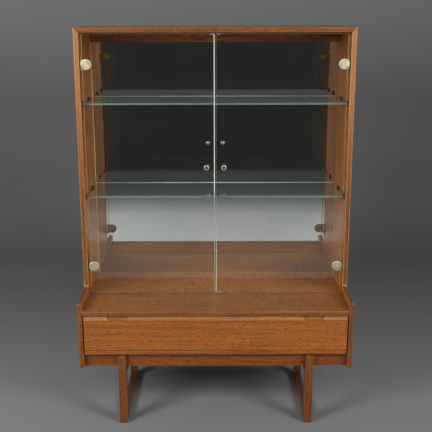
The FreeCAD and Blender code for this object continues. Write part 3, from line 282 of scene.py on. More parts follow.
class Effects:
    """Effects that several finishes share, each built once as a node group."""

    WANDER: ClassVar[Specks] = Specks((0.9, 4.5, 4.5), 2.0)
    BLOTCH: ClassVar[Specks] = Specks((2.4, 11.0, 11.0), 3.0)
    STREAKS: ClassVar[Specks] = Specks((4.0, 420.0, 420.0), 3.0, (0.3, 0.7))
    FLECKS: ClassVar[Specks] = Specks((80.0, 400.0, 400.0), 2.0, (0.48, 0.72))
    FIBRES: ClassVar[Specks] = Specks((22.0, 1100.0, 1100.0), 2.0)
    PORES: ClassVar[Specks] = Specks((48.0, 1300.0, 1300.0), 1.0, (0.58, 0.7))
    RING_LEAN: ClassVar[float] = 0.83
    RING_TURN: ClassVar[float] = 640.0
    RING_WANDER: ClassVar[float] = 120.0
    RING_PORES: ClassVar[Span] = (0.35, 1.0)
    PORE_DEPTH: ClassVar[float] = 0.62
    TONE_SPAN: ClassVar[Span] = (0.32, 1.12)
    END_GRAIN: ClassVar[Span] = (0.55, 0.95)
    END_GRAIN_DEPTH: ClassVar[float] = 0.6
    # Arris marks, partly wear and partly painted highlight.
    ARRIS_PATCHES: ClassVar[Specks] = Specks((38.0, 38.0, 38.0), 4.0, (0.36, 0.62))
    ARRIS_SHARE: ClassVar[Span] = (0.45, 1.0)
    ARRIS_REACH: ClassVar[float] = 2.2 * MM
    EASED_REACH: ClassVar[float] = 0.7 * MM
    EDGE_SAMPLES: ClassVar[int] = 4
    SHARP: ClassVar[Span] = (0.995, 0.86)
    ROUNDED: ClassVar[Span] = (0.985, 0.86)
    # Painted shade from ambient occlusion in joints, grooves and inner corners.
    SHADE_REACH: ClassVar[float] = 6 * MM
    SHADE_SAMPLES: ClassVar[int] = 6
    SHADE_SPAN: ClassVar[Span] = (0.3, 0.8)
    TARNISH: ClassVar[Specks] = Specks((95.0, 95.0, 95.0), 5.0, (0.34, 0.7))
    SCRATCHES: ClassVar[Specks] = Specks((2600.0, 260.0, 900.0), 2.0)
    SMEARS: ClassVar[Specks] = Specks((7.0, 7.0, 16.0), 4.0, (0.52, 0.78))
    DUST: ClassVar[Specks] = Specks((420.0, 420.0, 420.0), 1.0, (0.7, 0.78))
    DUST_SHARE: ClassVar[float] = 0.5

    @classmethod
    def place(cls, graph: Graph, name: str, inputs: dict) -> bpy.types.Node:
        """Puts an effect into a material.

        Args:
            graph: the material's graph.
            name: the effect's name, which is also the name of the method that builds it.
            inputs: values and joins for the effect's inputs.

        Returns:
            The group's node.
        """
        if name not in bpy.data.node_groups:
            getattr(cls, name)()
        node = graph.tree.nodes.new("ShaderNodeGroup")
        node.node_tree = bpy.data.node_groups[name]
        for key, value in inputs.items():
            graph.feed(node.inputs[key], value)
        return node

    @classmethod
    def wood_grain(cls) -> None:
        """Grain along X: wandering rings, long streaks, short flecks, fine fibres and dark pores."""
        graph, given, result = open_group(
            "wood_grain",
            {"Vector": "Vector", "Facing": "Vector", "Light": "Color", "Dark": "Color", "Pore": "Color",
             "Figure": "Float", "Sheen": "Float"},
            {"Color": "Color", "Roughness": "Float", "Height": "Float"})
        vector = given["Vector"]
        streaks = graph.noise(vector, cls.STREAKS)
        fibres = graph.noise(vector, cls.FIBRES)
        across = graph.weigh(
            (graph.part(vector, Axis.Y), 1.0), (graph.part(vector, Axis.Z), cls.RING_LEAN))
        phase = graph.weigh((across, cls.RING_TURN), (graph.noise(vector, cls.WANDER), cls.RING_WANDER))
        rings = graph.span(graph.math("SINE", phase), -1.0, 1.0)
        ringed = graph.span(rings, 0.0, 1.0, *cls.RING_PORES)
        pores = graph.math("MULTIPLY", graph.noise(vector, cls.PORES), ringed)
        tone = graph.weigh(
            (streaks, 0.55), (graph.noise(vector, cls.BLOTCH), 0.55),
            (graph.math("SUBTRACT", rings, 0.5), given["Figure"]),
            (graph.noise(vector, cls.FLECKS), 0.75), (graph.math("SUBTRACT", fibres, 0.5), 0.3))
        body = graph.blend(graph.span(tone, *cls.TONE_SPAN), given["Light"], given["Dark"])
        colour = graph.blend(graph.math("MULTIPLY", pores, cls.PORE_DEPTH), body, given["Pore"])
        along = graph.math("ABSOLUTE", graph.part(given["Facing"], Axis.X))
        cut_end = graph.span(along, *cls.END_GRAIN, 0.0, cls.END_GRAIN_DEPTH)
        rough = graph.weigh((streaks, 0.12), (pores, 0.16), (cut_end, 0.25), (given["Sheen"], 1.0))
        graph.feed(result["Color"], graph.blend(cut_end, colour, given["Pore"]))
        graph.feed(result["Roughness"], rough)
        graph.feed(result["Height"], graph.weigh((fibres, 0.35), (pores, -1.0)))

    @classmethod
    def worn_highlit_arris(cls) -> None:
        """Paler edges, whether sharp or rounded, partly wear and partly painted highlight, and a normal that
        eases the sharp ones.
        """
        graph, given, result = open_group(
            "worn_highlit_arris",
            {"Vector": "Vector", "Facing": "Vector", "Color": "Color", "Worn": "Color", "Strength": "Float"},
            {"Color": "Color", "Normal": "Vector"})
        wide, eased = (graph.add("Bevel", {"Radius": reach}, samples=cls.EDGE_SAMPLES).outputs[0]
                       for reach in (cls.ARRIS_REACH, cls.EASED_REACH))
        face = graph.add("NewGeometry").outputs["Normal"]
        likeness = graph.add("VectorMath", {0: wide, 1: face}, operation="DOT_PRODUCT").outputs["Value"]
        sharp = graph.span(likeness, *cls.SHARP)
        outward = graph.add("VectorMath", {0: given["Facing"]}, operation="ABSOLUTE").outputs[0]
        ways = graph.add("SeparateXYZ", {0: outward}).outputs
        squarest = graph.math("MAXIMUM", graph.math("MAXIMUM", ways["X"], ways["Y"]), ways["Z"])
        rounded = graph.span(squarest, *cls.ROUNDED)
        patchy = graph.noise(given["Vector"], cls.ARRIS_PATCHES, *cls.ARRIS_SHARE)
        share = graph.math("MULTIPLY", graph.math("MAXIMUM", sharp, rounded), patchy)
        share = graph.math("MULTIPLY", share, given["Strength"], clamp=True)
        graph.feed(result["Color"], graph.blend(share, given["Color"], given["Worn"]))
        graph.feed(result["Normal"], eased)

    @classmethod
    def crevice_shade(cls) -> None:
        """Painted shade that darkens joints, grooves and inner corners by how closed in they are."""
        graph, given, result = open_group(
            "crevice_shade", {"Color": "Color", "Grime": "Color", "Strength": "Float"}, {"Color": "Color"})
        # Painted shade: the more closed in a point is, the more it takes the shade colour.
        reach = {"Distance": cls.SHADE_REACH}
        open_share = graph.add("AmbientOcclusion", reach, samples=cls.SHADE_SAMPLES).outputs["AO"]
        hidden = graph.span(open_share, *cls.SHADE_SPAN, 1.0, 0.0)
        share = graph.math("MULTIPLY", hidden, given["Strength"], clamp=True)
        graph.feed(result["Color"], graph.blend(share, given["Color"], given["Grime"]))

    @classmethod
    def metal_tarnish(cls) -> None:
        """Duller and darker patches on metal, with fine scratches."""
        graph, given, result = open_group(
            "metal_tarnish", {"Vector": "Vector", "Bright": "Color", "Dull": "Color", "Gloss": "Float"},
            {"Color": "Color", "Roughness": "Float", "Height": "Float"})
        patches = graph.noise(given["Vector"], cls.TARNISH)
        scratches = graph.noise(given["Vector"], cls.SCRATCHES)
        rough = graph.weigh((given["Gloss"], 1.0), (patches, 0.16), (scratches, 0.08))
        graph.feed(result["Color"], graph.blend(patches, given["Bright"], given["Dull"]))
        graph.feed(result["Roughness"], rough)
        graph.feed(result["Height"], scratches)

    @classmethod
    def handling_marks(cls) -> None:
        """Faint smears and dust on glass, as a roughness."""
        graph, given, result = open_group(
            "handling_marks", {"Vector": "Vector", "Amount": "Float"}, {"Roughness": "Float"})
        smears = graph.noise(given["Vector"], cls.SMEARS)
        dust = graph.math("MULTIPLY", graph.noise(given["Vector"], cls.DUST), cls.DUST_SHARE)
        mask = graph.math("ADD", smears, dust, clamp=True)
        graph.feed(result["Roughness"], graph.math("MULTIPLY", mask, given["Amount"]))


class Finish:
    """What a finish needs to become a material once and be laid on pieces."""

    name: str
    made: ClassVar[dict[str, bpy.types.Material]] = {}

    def material(self) -> bpy.types.Material:
        """The finish's material, made when it is first asked for.

        Returns:
            The material.
        """
        if self.name not in self.made:
            fresh = bpy.data.materials.new(self.name)
            fresh.use_nodes = True
            fresh.node_tree.nodes.clear()
            graph = Graph(fresh.node_tree)
            self.draw(graph, graph.add("OutputMaterial"))
            self.made[self.name] = fresh
        return self.made[self.name]

    def draw(self, graph: Graph, output: bpy.types.Node) -> None:
        """Draws the finish's nodes and joins them to the output."""
        raise NotImplementedError

    def lay_on(self, *pieces: bpy.types.Object) -> None:
        """Gives pieces this finish all over.

        Args:
            *pieces: the pieces.
        """
        for piece in pieces:
            piece.data.materials.clear()
            piece.data.materials.append(self.material())
            log.info("%s is finished in %s", piece.name, self.name)


@dataclass(frozen=True)
class Tones:
    """The colours of one wood: its light and dark grain and its pores."""

    light: Colour
    dark: Colour
    pore: Colour


@dataclass(frozen=True)
class WoodFinish(Finish):
    """Oiled or bare wood with its grain laid one way."""

    name: str
    tones: Tones
    worn: Colour
    grain: Grain
    figure: float = 0.14
    # How strongly the arrises take the pale colour, partly wear and partly painted highlight, and how much
    # painted shade the joints take.
    wear_and_highlight: float = 0.5
    sheen: float = 0.22
    grime: float = 0.85
    # Painted light: span of heights over which the tone pales towards the top.
    top_light_span: Optional[Span] = None
    TOP_LIGHT: ClassVar[float] = 0.28
    RELIEF: ClassVar[float] = 0.35
    RELIEF_DEPTH: ClassVar[float] = 0.25 * MM
    SPECULAR: ClassVar[float] = 0.4

    def draw(self, graph: Graph, output: bpy.types.Node) -> None:
        """Grain, painted light that pales the tone with height, worn and painted highlit edges, painted shade
        in the joints and a fine relief.

        Args:
            graph: the material's graph.
            output: its output node.
        """
        spots = graph.add("TexCoord").outputs
        place, facing = spots["Object"], spots["Normal"]
        laid, turned = (graph.add("Mapping", {"Vector": way, "Rotation": self.grain.value}).outputs[0]
                        for way in (place, facing))
        grain = Effects.place(graph, "wood_grain", {
            "Vector": laid, "Facing": turned, "Light": self.tones.light, "Dark": self.tones.dark,
            "Pore": self.tones.pore, "Figure": self.figure, "Sheen": self.sheen})
        tone = grain.outputs["Color"]
        # Painted light: the tone pales towards the top over this span of heights.
        if self.top_light_span:
            top_lit = graph.span(graph.part(place, Axis.Z), *self.top_light_span, 0.0, self.TOP_LIGHT)
            tone = graph.blend(top_lit, tone, self.worn)
        edge = Effects.place(graph, "worn_highlit_arris", {
            "Vector": place, "Facing": facing, "Color": tone, "Worn": self.worn, "Strength": self.wear_and_highlight})
        shaded = Effects.place(graph, "crevice_shade", {
            "Color": edge.outputs["Color"], "Grime": self.tones.pore, "Strength": self.grime})
        normal = graph.relief(
            grain.outputs["Height"], self.RELIEF, self.RELIEF_DEPTH, edge.outputs["Normal"])
        shader = graph.add("BsdfPrincipled", {
            "Base Color": shaded.outputs["Color"], "Roughness": grain.outputs["Roughness"], "Normal": normal,
            "Specular IOR Level": self.SPECULAR})
        graph.feed(output.inputs["Surface"], shader.outputs[0])


@dataclass(frozen=True)
class MetalFinish(Finish):
    """Plated or lacquered metal."""

    name: str
    bright: Colour
    dull: Colour
    gloss: float
    # Strength of the painted shade in the fitting's corners.
    PAINTED_SHADE: ClassVar[float] = 0.85
    RELIEF: ClassVar[float] = 0.08
    RELIEF_DEPTH: ClassVar[float] = 0.05 * MM

    def draw(self, graph: Graph, output: bpy.types.Node) -> None:
        """Tarnish in colour and gloss, painted shade in the corners and fine scratches.

        Args:
            graph: the material's graph.
            output: its output node.
        """
        place = graph.add("TexCoord").outputs["Object"]
        tarnish = Effects.place(graph, "metal_tarnish", {
            "Vector": place, "Bright": self.bright, "Dull": self.dull, "Gloss": self.gloss}).outputs
        shaded = Effects.place(graph, "crevice_shade", {
            "Color": tarnish["Color"], "Grime": CORNER_SHADE, "Strength": self.PAINTED_SHADE})
        shader = graph.add("BsdfPrincipled", {
            "Base Color": shaded.outputs["Color"], "Roughness": tarnish["Roughness"], "Metallic": 1.0,
            "Normal": graph.relief(tarnish["Height"], self.RELIEF, self.RELIEF_DEPTH)})
        graph.feed(output.inputs["Surface"], shader.outputs[0])


@dataclass(frozen=True)
class MouldedFinish(Finish):
    """Moulded plastic or fibre with a fine grain."""

    name: str
    base: Colour
    shade: Colour
    rough: float
    CLOUD: ClassVar[Specks] = Specks((60.0, 60.0, 60.0), 4.0, (0.3, 0.7))
    SKIN: ClassVar[Specks] = Specks((900.0, 900.0, 900.0), 2.0)
    SKIN_ROUGH: ClassVar[float] = 0.18
    RELIEF: ClassVar[float] = 0.15
    RELIEF_DEPTH: ClassVar[float] = 0.08 * MM

    def draw(self, graph: Graph, output: bpy.types.Node) -> None:
        """A slightly uneven colour over a fine moulded grain.

        Args:
            graph: the material's graph.
            output: its output node.
        """
        place = graph.add("TexCoord").outputs["Object"]
        skin = graph.noise(place, self.SKIN)
        shader = graph.add("BsdfPrincipled", {
            "Base Color": graph.blend(graph.noise(place, self.CLOUD), self.base, self.shade),
            "Roughness": graph.math("ADD", graph.math("MULTIPLY", skin, self.SKIN_ROUGH), self.rough),
            "Normal": graph.relief(skin, self.RELIEF, self.RELIEF_DEPTH)})
        graph.feed(output.inputs["Surface"], shader.outputs[0])


@dataclass(frozen=True)
class GlassFinish(Finish):
    """Clear float glass that is green in its depth and lets lamps through."""

    name: str
    depth_tint: Colour
    depth_density: float
    smears: float
    lamp_tint: Colour
    INDEX: ClassVar[float] = 1.5

    def draw(self, graph: Graph, output: bpy.types.Node) -> None:
        """Clear glass with faint smears; light from lamps passes straight through.

        Args:
            graph: the material's graph.
            output: its output node.
        """
        place = graph.add("TexCoord").outputs["Object"]
        marks = Effects.place(graph, "handling_marks", {"Vector": place, "Amount": self.smears})
        shader = graph.add("BsdfPrincipled", {
            "Base Color": WHITE, "Roughness": marks.outputs["Roughness"], "IOR": self.INDEX,
            "Transmission Weight": 1.0})
        passing = graph.add("BsdfTransparent", {"Color": self.lamp_tint})
        shadow = graph.add("LightPath").outputs["Is Shadow Ray"]
        both = graph.add("MixShader", {0: shadow, 1: shader.outputs[0], 2: passing.outputs[0]})
        depth = graph.add("VolumeAbsorption", {"Color": self.depth_tint, "Density": self.depth_density})
        graph.feed(output.inputs["Surface"], both.outputs[0])
        graph.feed(output.inputs["Volume"], depth.outputs[0])


@dataclass(frozen=True)
class GroundEdgeFinish(Finish):
    """The ground edge of a sheet of glass, slightly streaked, in tones that paint the light and shade on it,
    which may change over a height.
    """

    name: str
    pale: Colour
    deep: Colour
    painted_light_span: Span = (-1.0, 0.0)
    streak: float = 0.5
    GRINDING: ClassVar[Specks] = Specks((160.0, 700.0, 160.0), 3.0)
    STREAKED: ClassVar[Span] = (0.34, 0.66)
    DULLED: ClassVar[Span] = (0.2, 0.8)
    ROUGH: ClassVar[Span] = (0.2, 0.42)
    RELIEF: ClassVar[float] = 0.25
    RELIEF_DEPTH: ClassVar[float] = 0.1 * MM

    def draw(self, graph: Graph, output: bpy.types.Node) -> None:
        """Grinding marks in colour, gloss and relief, over painted light that may change with height.

        Args:
            graph: the material's graph.
            output: its output node.
        """
        place = graph.add("TexCoord").outputs["Object"]
        marks = graph.noise(place, self.GRINDING)
        painted_falloff = graph.span(graph.part(place, Axis.Z), *self.painted_light_span, 1.0, 0.0)
        share = graph.math("ADD", painted_falloff, graph.span(marks, *self.STREAKED, 0.0, self.streak), clamp=True)
        shader = graph.add("BsdfPrincipled", {
            "Base Color": graph.blend(share, self.pale, self.deep),
            "Roughness": graph.span(marks, *self.DULLED, *self.ROUGH),
            "Normal": graph.relief(marks, self.RELIEF, self.RELIEF_DEPTH)})
        graph.feed(output.inputs["Surface"], shader.outputs[0])


@dataclass(frozen=True)
class MirrorFinish(Finish):
    """Silvered glass with a faint haze and specks where the silver has gone."""

    name: str
    silver: Colour
    haze: Colour
    lost: Colour
    rim: Colour
    rim_from: float
    rim_to: float
    smears: float
    CLOUD: ClassVar[Specks] = Specks((3.0, 3.0, 4.0), 4.0, (0.35, 0.7))
    GONE: ClassVar[Specks] = Specks((130.0, 130.0, 130.0), 2.0, (0.74, 0.77))

    def draw(self, graph: Graph, output: bpy.types.Node) -> None:
        """A mirror that is a little uneven in colour and gloss, with a pale line along its left edge.

        Args:
            graph: the material's graph.
            output: its output node.
        """
        place = graph.add("TexCoord").outputs["Object"]
        silvered = graph.span(graph.part(place, Axis.X), self.rim_from, self.rim_to)
        marks = Effects.place(graph, "handling_marks", {"Vector": place, "Amount": self.smears})
        body = graph.blend(graph.noise(place, self.CLOUD), self.silver, self.haze)
        face = graph.blend(graph.noise(place, self.GONE), body, self.lost)
        shader = graph.add("BsdfPrincipled", {
            "Base Color": graph.blend(silvered, self.rim, face), "Roughness": marks.outputs["Roughness"],
            "Metallic": silvered})
        graph.feed(output.inputs["Surface"], shader.outputs[0])


@dataclass(frozen=True)
class PaperFinish(Finish):
    """Plain studio paper with painted light, graded along one axis of the room and darker to the right."""

    name: str
    axis: Axis
    stops: tuple[tuple[float, Colour], ...]
    painted_falloff: float = 0.0
    tooth: float = 0.0
    one_sided: bool = False
    glow: bool = False
    PAINTED_FALLOFF_HALF: ClassVar[float] = 1.1
    MOTTLE: ClassVar[Specks] = Specks((9.0, 9.0, 9.0), 4.0, (0.3, 0.7))
    MOTTLE_DEPTH: ClassVar[float] = 0.006
    FIBRES: ClassVar[Specks] = Specks((210.0, 210.0, 210.0), 3.0, (0.3, 0.7))
    ROUGH: ClassVar[float] = 0.75
    SPECULAR: ClassVar[float] = 0.1

    def grade(self, graph: Graph, place: Socket) -> Socket:
        """The paper's colour at a place, with its painted light and a faint mottle.

        Args:
            graph: the material's graph.
            place: the place.

        Returns:
            The colour.
        """
        first, last = self.stops[0][0], self.stops[-1][0]
        mottle = graph.noise(place, self.MOTTLE, -self.MOTTLE_DEPTH, self.MOTTLE_DEPTH)
        spot_share = graph.span(graph.part(place, self.axis), first, last)
        ramp = graph.add("ValToRGB", {0: graph.math("ADD", spot_share, mottle)})
        steps = ramp.color_ramp.elements
        while len(steps) < len(self.stops):
            steps.new(1.0)
        for step, (spot, colour) in zip(steps, self.stops):
            step.position = (spot - first) / (last - first)
            step.color = colour
        # Painted light: the paper darkens towards the right.
        painted_falloff = graph.span(graph.part(place, Axis.X), -self.PAINTED_FALLOFF_HALF, self.PAINTED_FALLOFF_HALF, 0.0, self.painted_falloff)
        tooth = graph.noise(place, self.FIBRES, 0.0, self.tooth)
        return graph.blend(graph.math("ADD", painted_falloff, tooth), ramp.outputs[0], BLACK)

    def draw(self, graph: Graph, output: bpy.types.Node) -> None:
        """Matt paper; it may be clear from behind, or show its colour by its own light.

        Args:
            graph: the material's graph.
            output: its output node.
        """
        colour = self.grade(graph, graph.add("TexCoord").outputs["Object"])
        shader = graph.add("BsdfPrincipled", {"Roughness": self.ROUGH, "Specular IOR Level": self.SPECULAR})
        if self.glow:
            graph.feed(shader.inputs["Base Color"], BLACK)
            graph.feed(shader.inputs["Emission Color"], colour)
            graph.feed(shader.inputs["Emission Strength"], 1.0)
        else:
            graph.feed(shader.inputs["Base Color"], colour)
        surface = shader.outputs[0]
        if self.one_sided:
            rear = graph.add("NewGeometry").outputs["Backfacing"]
            clear = graph.add("BsdfTransparent")
            surface = graph.add("MixShader", {0: rear, 1: surface, 2: clear.outputs[0]}).outputs[0]
        graph.feed(output.inputs["Surface"], surface)


# Each board of the case has a tone of its own, and some tones also paint shade: the side edges below the step
# take a darker copy that paints shade there, the runners' tone paints the shade under the case, and the legs
# are darker partly as painted shade low down.
SIDE_TEAK = Tones(paint(170, 102, 38), paint(104, 56, 20), paint(57, 30, 12))
SHADED_BASE_TEAK = Tones(paint(132, 80, 37), paint(81, 44, 19), paint(44, 24, 11))
TOP_TEAK = Tones(paint(139, 83, 32), paint(85, 45, 16), paint(47, 24, 9))
DRAWER_TEAK = Tones(paint(171, 100, 37), paint(112, 60, 19), paint(60, 32, 12))
LEDGE_TEAK = Tones(paint(162, 99, 43), paint(99, 54, 23), paint(54, 29, 13))
LIPPING_TEAK = Tones(paint(175, 112, 57), paint(134, 82, 40), paint(70, 38, 16))
EDGE_TEAK = Tones(paint(137, 83, 38), paint(92, 52, 22), paint(55, 29, 12))
FOOT_TEAK = Tones(paint(164, 93, 36), paint(100, 52, 19), paint(54, 28, 11))
RAIL_TEAK = Tones(paint(141, 76, 27), paint(85, 42, 13), paint(46, 22, 8))
SHADED_SLED_TEAK = Tones(paint(104, 60, 30), paint(60, 33, 16), paint(36, 20, 10))
LEG_TEAK = Tones(paint(133, 76, 30), paint(77, 40, 15), paint(43, 23, 9))
BEECH = Tones(paint(206, 174, 130), paint(176, 138, 94), paint(136, 98, 62))
PLY = Tones(paint(196, 158, 112), paint(160, 120, 78), paint(112, 78, 48))
# Arris colours: the teak and beech ones are wear, partly painted highlight; the pale edge and runner colours
# are painted highlights on the arrises of the side edges and the sled runners, and the edge colour also
# paints the light towards the top of the side edges.
RUBBED_TEAK = paint(190, 134, 82)
EDGE_HIGHLIGHT = paint(222, 164, 108)
RUNNER_HIGHLIGHT = paint(206, 176, 140)
RUBBED_BEECH = paint(222, 198, 160)

VENEER_ACROSS = WoodFinish("veneer_across", TOP_TEAK, RUBBED_TEAK, Grain.ACROSS, wear_and_highlight=0.3, sheen=0.32)
VENEER_POLISHED = WoodFinish("veneer_polished", LEDGE_TEAK, RUBBED_TEAK, Grain.ACROSS, wear_and_highlight=0.2, sheen=0.12)
VENEER_UPRIGHT = WoodFinish("veneer_upright", SIDE_TEAK, RUBBED_TEAK, Grain.UPRIGHT, wear_and_highlight=0.3)
SHADED_BASE_UPRIGHT = WoodFinish("shaded_base_upright", SHADED_BASE_TEAK, RUBBED_TEAK, Grain.UPRIGHT, wear_and_highlight=0.3)
EDGE_UPRIGHT = WoodFinish(
    "edge_upright", EDGE_TEAK, EDGE_HIGHLIGHT, Grain.UPRIGHT, wear_and_highlight=0.6, top_light_span=(0.75, 1.15))
DRAWER_VENEER = WoodFinish(
    "drawer_veneer", DRAWER_TEAK, RUBBED_TEAK, Grain.ACROSS, figure=0.1, wear_and_highlight=0.0, grime=1.0)
LIPPING = WoodFinish("lipping", LIPPING_TEAK, RUBBED_TEAK, Grain.ACROSS, wear_and_highlight=0.0, grime=1.0)
FOOT_LIPPING = WoodFinish("foot_lipping", FOOT_TEAK, RUBBED_TEAK, Grain.ACROSS, wear_and_highlight=0.0, grime=1.0)
SOLID_ACROSS = WoodFinish("solid_across", RAIL_TEAK, RUBBED_TEAK, Grain.ACROSS)
LEG_UPRIGHT = WoodFinish("leg_upright", LEG_TEAK, RUBBED_TEAK, Grain.UPRIGHT, wear_and_highlight=0.7)
SLED_DEEP = WoodFinish("sled_deep", SHADED_SLED_TEAK, RUNNER_HIGHLIGHT, Grain.DEEP, wear_and_highlight=1.0)
BEECH_ACROSS = WoodFinish("beech_across", BEECH, RUBBED_BEECH, Grain.ACROSS)
BEECH_DEEP = WoodFinish("beech_deep", BEECH, RUBBED_BEECH, Grain.DEEP)
PLY_ACROSS = WoodFinish("ply_across", PLY, RUBBED_BEECH, Grain.ACROSS, figure=0.35)
PLY_UPRIGHT = WoodFinish("ply_upright", PLY, RUBBED_BEECH, Grain.UPRIGHT, figure=0.35)

BRASS = MetalFinish("aged_brass", paint(228, 214, 140), paint(150, 139, 80), 0.2)
PALE_CAP = MetalFinish("pale_cap", paint(226, 218, 191), paint(188, 177, 147), 0.46)
CLIP_METAL = MetalFinish("clip_metal", paint(186, 168, 146), paint(156, 138, 116), 0.5)
DULL_STEEL = MetalFinish("dull_steel", paint(150, 149, 146), paint(112, 110, 107), 0.4)
STEEL = MetalFinish("plated_steel", paint(226, 225, 222), paint(172, 170, 165), 0.34)
KNOB_METAL = MetalFinish("knob_alloy", paint(238, 226, 204), paint(196, 178, 150), 0.3)
BROWN_PLASTIC = MouldedFinish("dark_plastic", paint(58, 36, 24), paint(42, 26, 18), 0.38)
# Dark fibre washers, dark enough to paint the shadow ring round each hinge cap.
SHADOW_RING_WASHER = MouldedFinish("shadow_ring_fibre", paint(62, 54, 46), paint(46, 40, 34), 0.5)

CLEAR_GLASS = GlassFinish(
    "float_glass", depth_tint=(0.2, 0.76, 0.52, 1.0), depth_density=6.0, smears=0.03,
    lamp_tint=(0.84, 0.86, 0.85, 1.0))
# Copies of one ground glass edge, toned per edge to paint the light and shade each edge shows: the hinge and
# bottom edges of the doors are paler, the rear shelf edge is a near-white painted highlight, the left meeting
# edge is a painted highlight above and dimmer below, and the right meeting edge is painted shade above and
# paler below.
DOOR_EDGE = GroundEdgeFinish("door_edge", paint(92, 80, 66), paint(64, 56, 46))
HINGE_DOOR_EDGE = GroundEdgeFinish("hinge_door_edge", paint(138, 116, 90), paint(104, 84, 62))
PALE_DOOR_EDGE = GroundEdgeFinish("pale_door_edge", paint(138, 108, 78), paint(106, 80, 55))
LEFT_MEETING_EDGE = GroundEdgeFinish(
    "left_meeting_edge", paint(255, 255, 255), paint(160, 162, 158), (0.74, 0.785), 0.1)
RIGHT_MEETING_EDGE = GroundEdgeFinish(
    "right_meeting_edge", paint(52, 54, 53), paint(204, 206, 202), (0.5, 0.78), 0.2)
SHELF_EDGE = GroundEdgeFinish("shelf_edge", paint(96, 114, 106), paint(68, 86, 78))
SHELF_REAR_EDGE = GroundEdgeFinish("shelf_rear_edge", paint(232, 246, 240), paint(190, 214, 203))
SILVERING = MirrorFinish(
    "silvering", silver=paint(226, 229, 227), haze=paint(212, 216, 214), lost=paint(70, 66, 60),
    rim=paint(216, 184, 144), rim_from=-438.6 * MM, rim_to=-438.2 * MM, smears=0.035)


class Bench:
    """Modelling by hand tools."""

    @staticmethod
    def deselect() -> None:
        """Leaves object mode with nothing selected."""
        if bpy.context.object and bpy.context.object.mode != "OBJECT":
            bpy.ops.object.mode_set(mode="OBJECT")
        bpy.ops.object.select_all(action="DESELECT")

    @classmethod
    def pick(cls, *pieces: bpy.types.Object) -> None:
        """Selects pieces alone.

        Args:
            *pieces: the pieces, of which the first becomes active.
        """
        cls.deselect()
        for piece in pieces:
            piece.select_set(True)
        bpy.context.view_layer.objects.active = pieces[0]

    @classmethod
    def settle(cls, piece: bpy.types.Object, name: str) -> bpy.types.Object:
        """Names a piece and moves its place into its mesh.

        Args:
            piece: the piece.
            name: its name.

        Returns:
            The piece.
        """
        cls.pick(piece)
        bpy.ops.object.transform_apply(location=True, rotation=True, scale=True)
        piece.name = name
        piece.data.name = name
        return piece

    @classmethod
    def turn(cls, name: str, profile: Profile, sides: int) -> bpy.types.Object:
        """Turns a piece about the Z axis.

        Args:
            name: the piece's name.
            profile: radius and height of each ring, from one end to the other.
            sides: how many flats the turning has.

        Returns:
            The piece, closed at both ends.
        """
        cls.deselect()
        first_radius, first_height = profile[0]
        bpy.ops.mesh.primitive_circle_add(vertices=sides, radius=first_radius, fill_type="NOTHING",
                                          location=(0.0, 0.0, 0.0))
        piece = bpy.context.object
        bpy.ops.object.mode_set(mode="EDIT")
        bpy.ops.mesh.select_all(action="SELECT")
        bpy.ops.mesh.edge_face_add()
        bpy.ops.mesh.select_all(action="SELECT")
        bpy.ops.transform.translate(value=(0.0, 0.0, first_height))
        for (radius, height), (next_radius, next_height) in zip(profile, profile[1:]):
            rise = {"value": (0.0, 0.0, next_height - height)}
            bpy.ops.mesh.extrude_edges_move(TRANSFORM_OT_translate=rise)
            ratio = next_radius / radius
            bpy.ops.transform.resize(value=(ratio, ratio, 1.0), center_override=(0.0, 0.0, next_height))
        bpy.ops.mesh.edge_face_add()
        bpy.ops.mesh.select_all(action="SELECT")
        bpy.ops.mesh.normals_make_consistent(inside=False)
        bpy.ops.object.mode_set(mode="OBJECT")
        return cls.settle(piece, name)

    @classmethod
    def block(cls, name: str, low: Vector, high: Vector, arris: float, segments: int = 2) -> bpy.types.Object:
        """A block between two corners with eased edges.

        Args:
            name: the block's name.
            low: its lowest corner.
            high: its highest corner.
            arris: how wide its edges are eased.
            segments: in how many steps.

        Returns:
            The block.
        """
        cls.deselect()
        bpy.ops.mesh.primitive_cube_add(size=1.0, location=(low + high) / 2)
        piece = bpy.context.object
        piece.scale = high - low
        cls.settle(piece, name)
        bpy.ops.object.mode_set(mode="EDIT")
        bpy.ops.mesh.select_all(action="SELECT")
        bpy.ops.mesh.bevel(offset=arris, segments=segments, affect="EDGES")
        bpy.ops.object.mode_set(mode="OBJECT")
        return piece

    @classmethod
    def take_out(cls, piece: bpy.types.Object, cutter: bpy.types.Object) -> None:
        """Cuts one piece out of another.

        Args:
            piece: the piece that is cut.
            cutter: the shape that is taken out; it is dropped.
        """
        cls.pick(piece)
        bpy.ops.object.modifier_add(type="BOOLEAN")
        modifier = piece.modifiers[-1]
        modifier.operation = "DIFFERENCE"
        modifier.solver = "EXACT"
        modifier.object = cutter
        bpy.ops.object.modifier_apply(modifier=modifier.name)
        bpy.data.objects.remove(cutter)

    @classmethod
    def smooth(cls, piece: bpy.types.Object, degrees: float = 32.0) -> bpy.types.Object:
        """Shades a piece smooth but for its sharper edges.

        Args:
            piece: the piece.
            degrees: the angle from which an edge stays sharp.

        Returns:
            The piece.
        """
        cls.pick(piece)
        bpy.ops.object.shade_smooth_by_angle(angle=math.radians(degrees))
        return piece

    @classmethod
    def repeat(cls, master: bpy.types.Object, name: str, spots: Iterable[Spot]) -> bpy.types.Object:
        """Copies a piece to several spots.

        Args:
            master: the piece, modelled at the origin with its head up; it is dropped.
            name: the name of the whole.
            spots: place and facing of each copy.

        Returns:
            One piece that holds all the copies.
        """
        made = []
        for place, facing in spots:
            cls.pick(master)
            bpy.ops.object.duplicate(linked=False)
            copy = bpy.context.object
            copy.location = place
            copy.rotation_euler = facing.value
            made.append(copy)
        bpy.data.objects.remove(master)
        cls.pick(*made)
        if len(made) > 1:
            bpy.ops.object.join()
        return cls.settle(bpy.context.object, name)


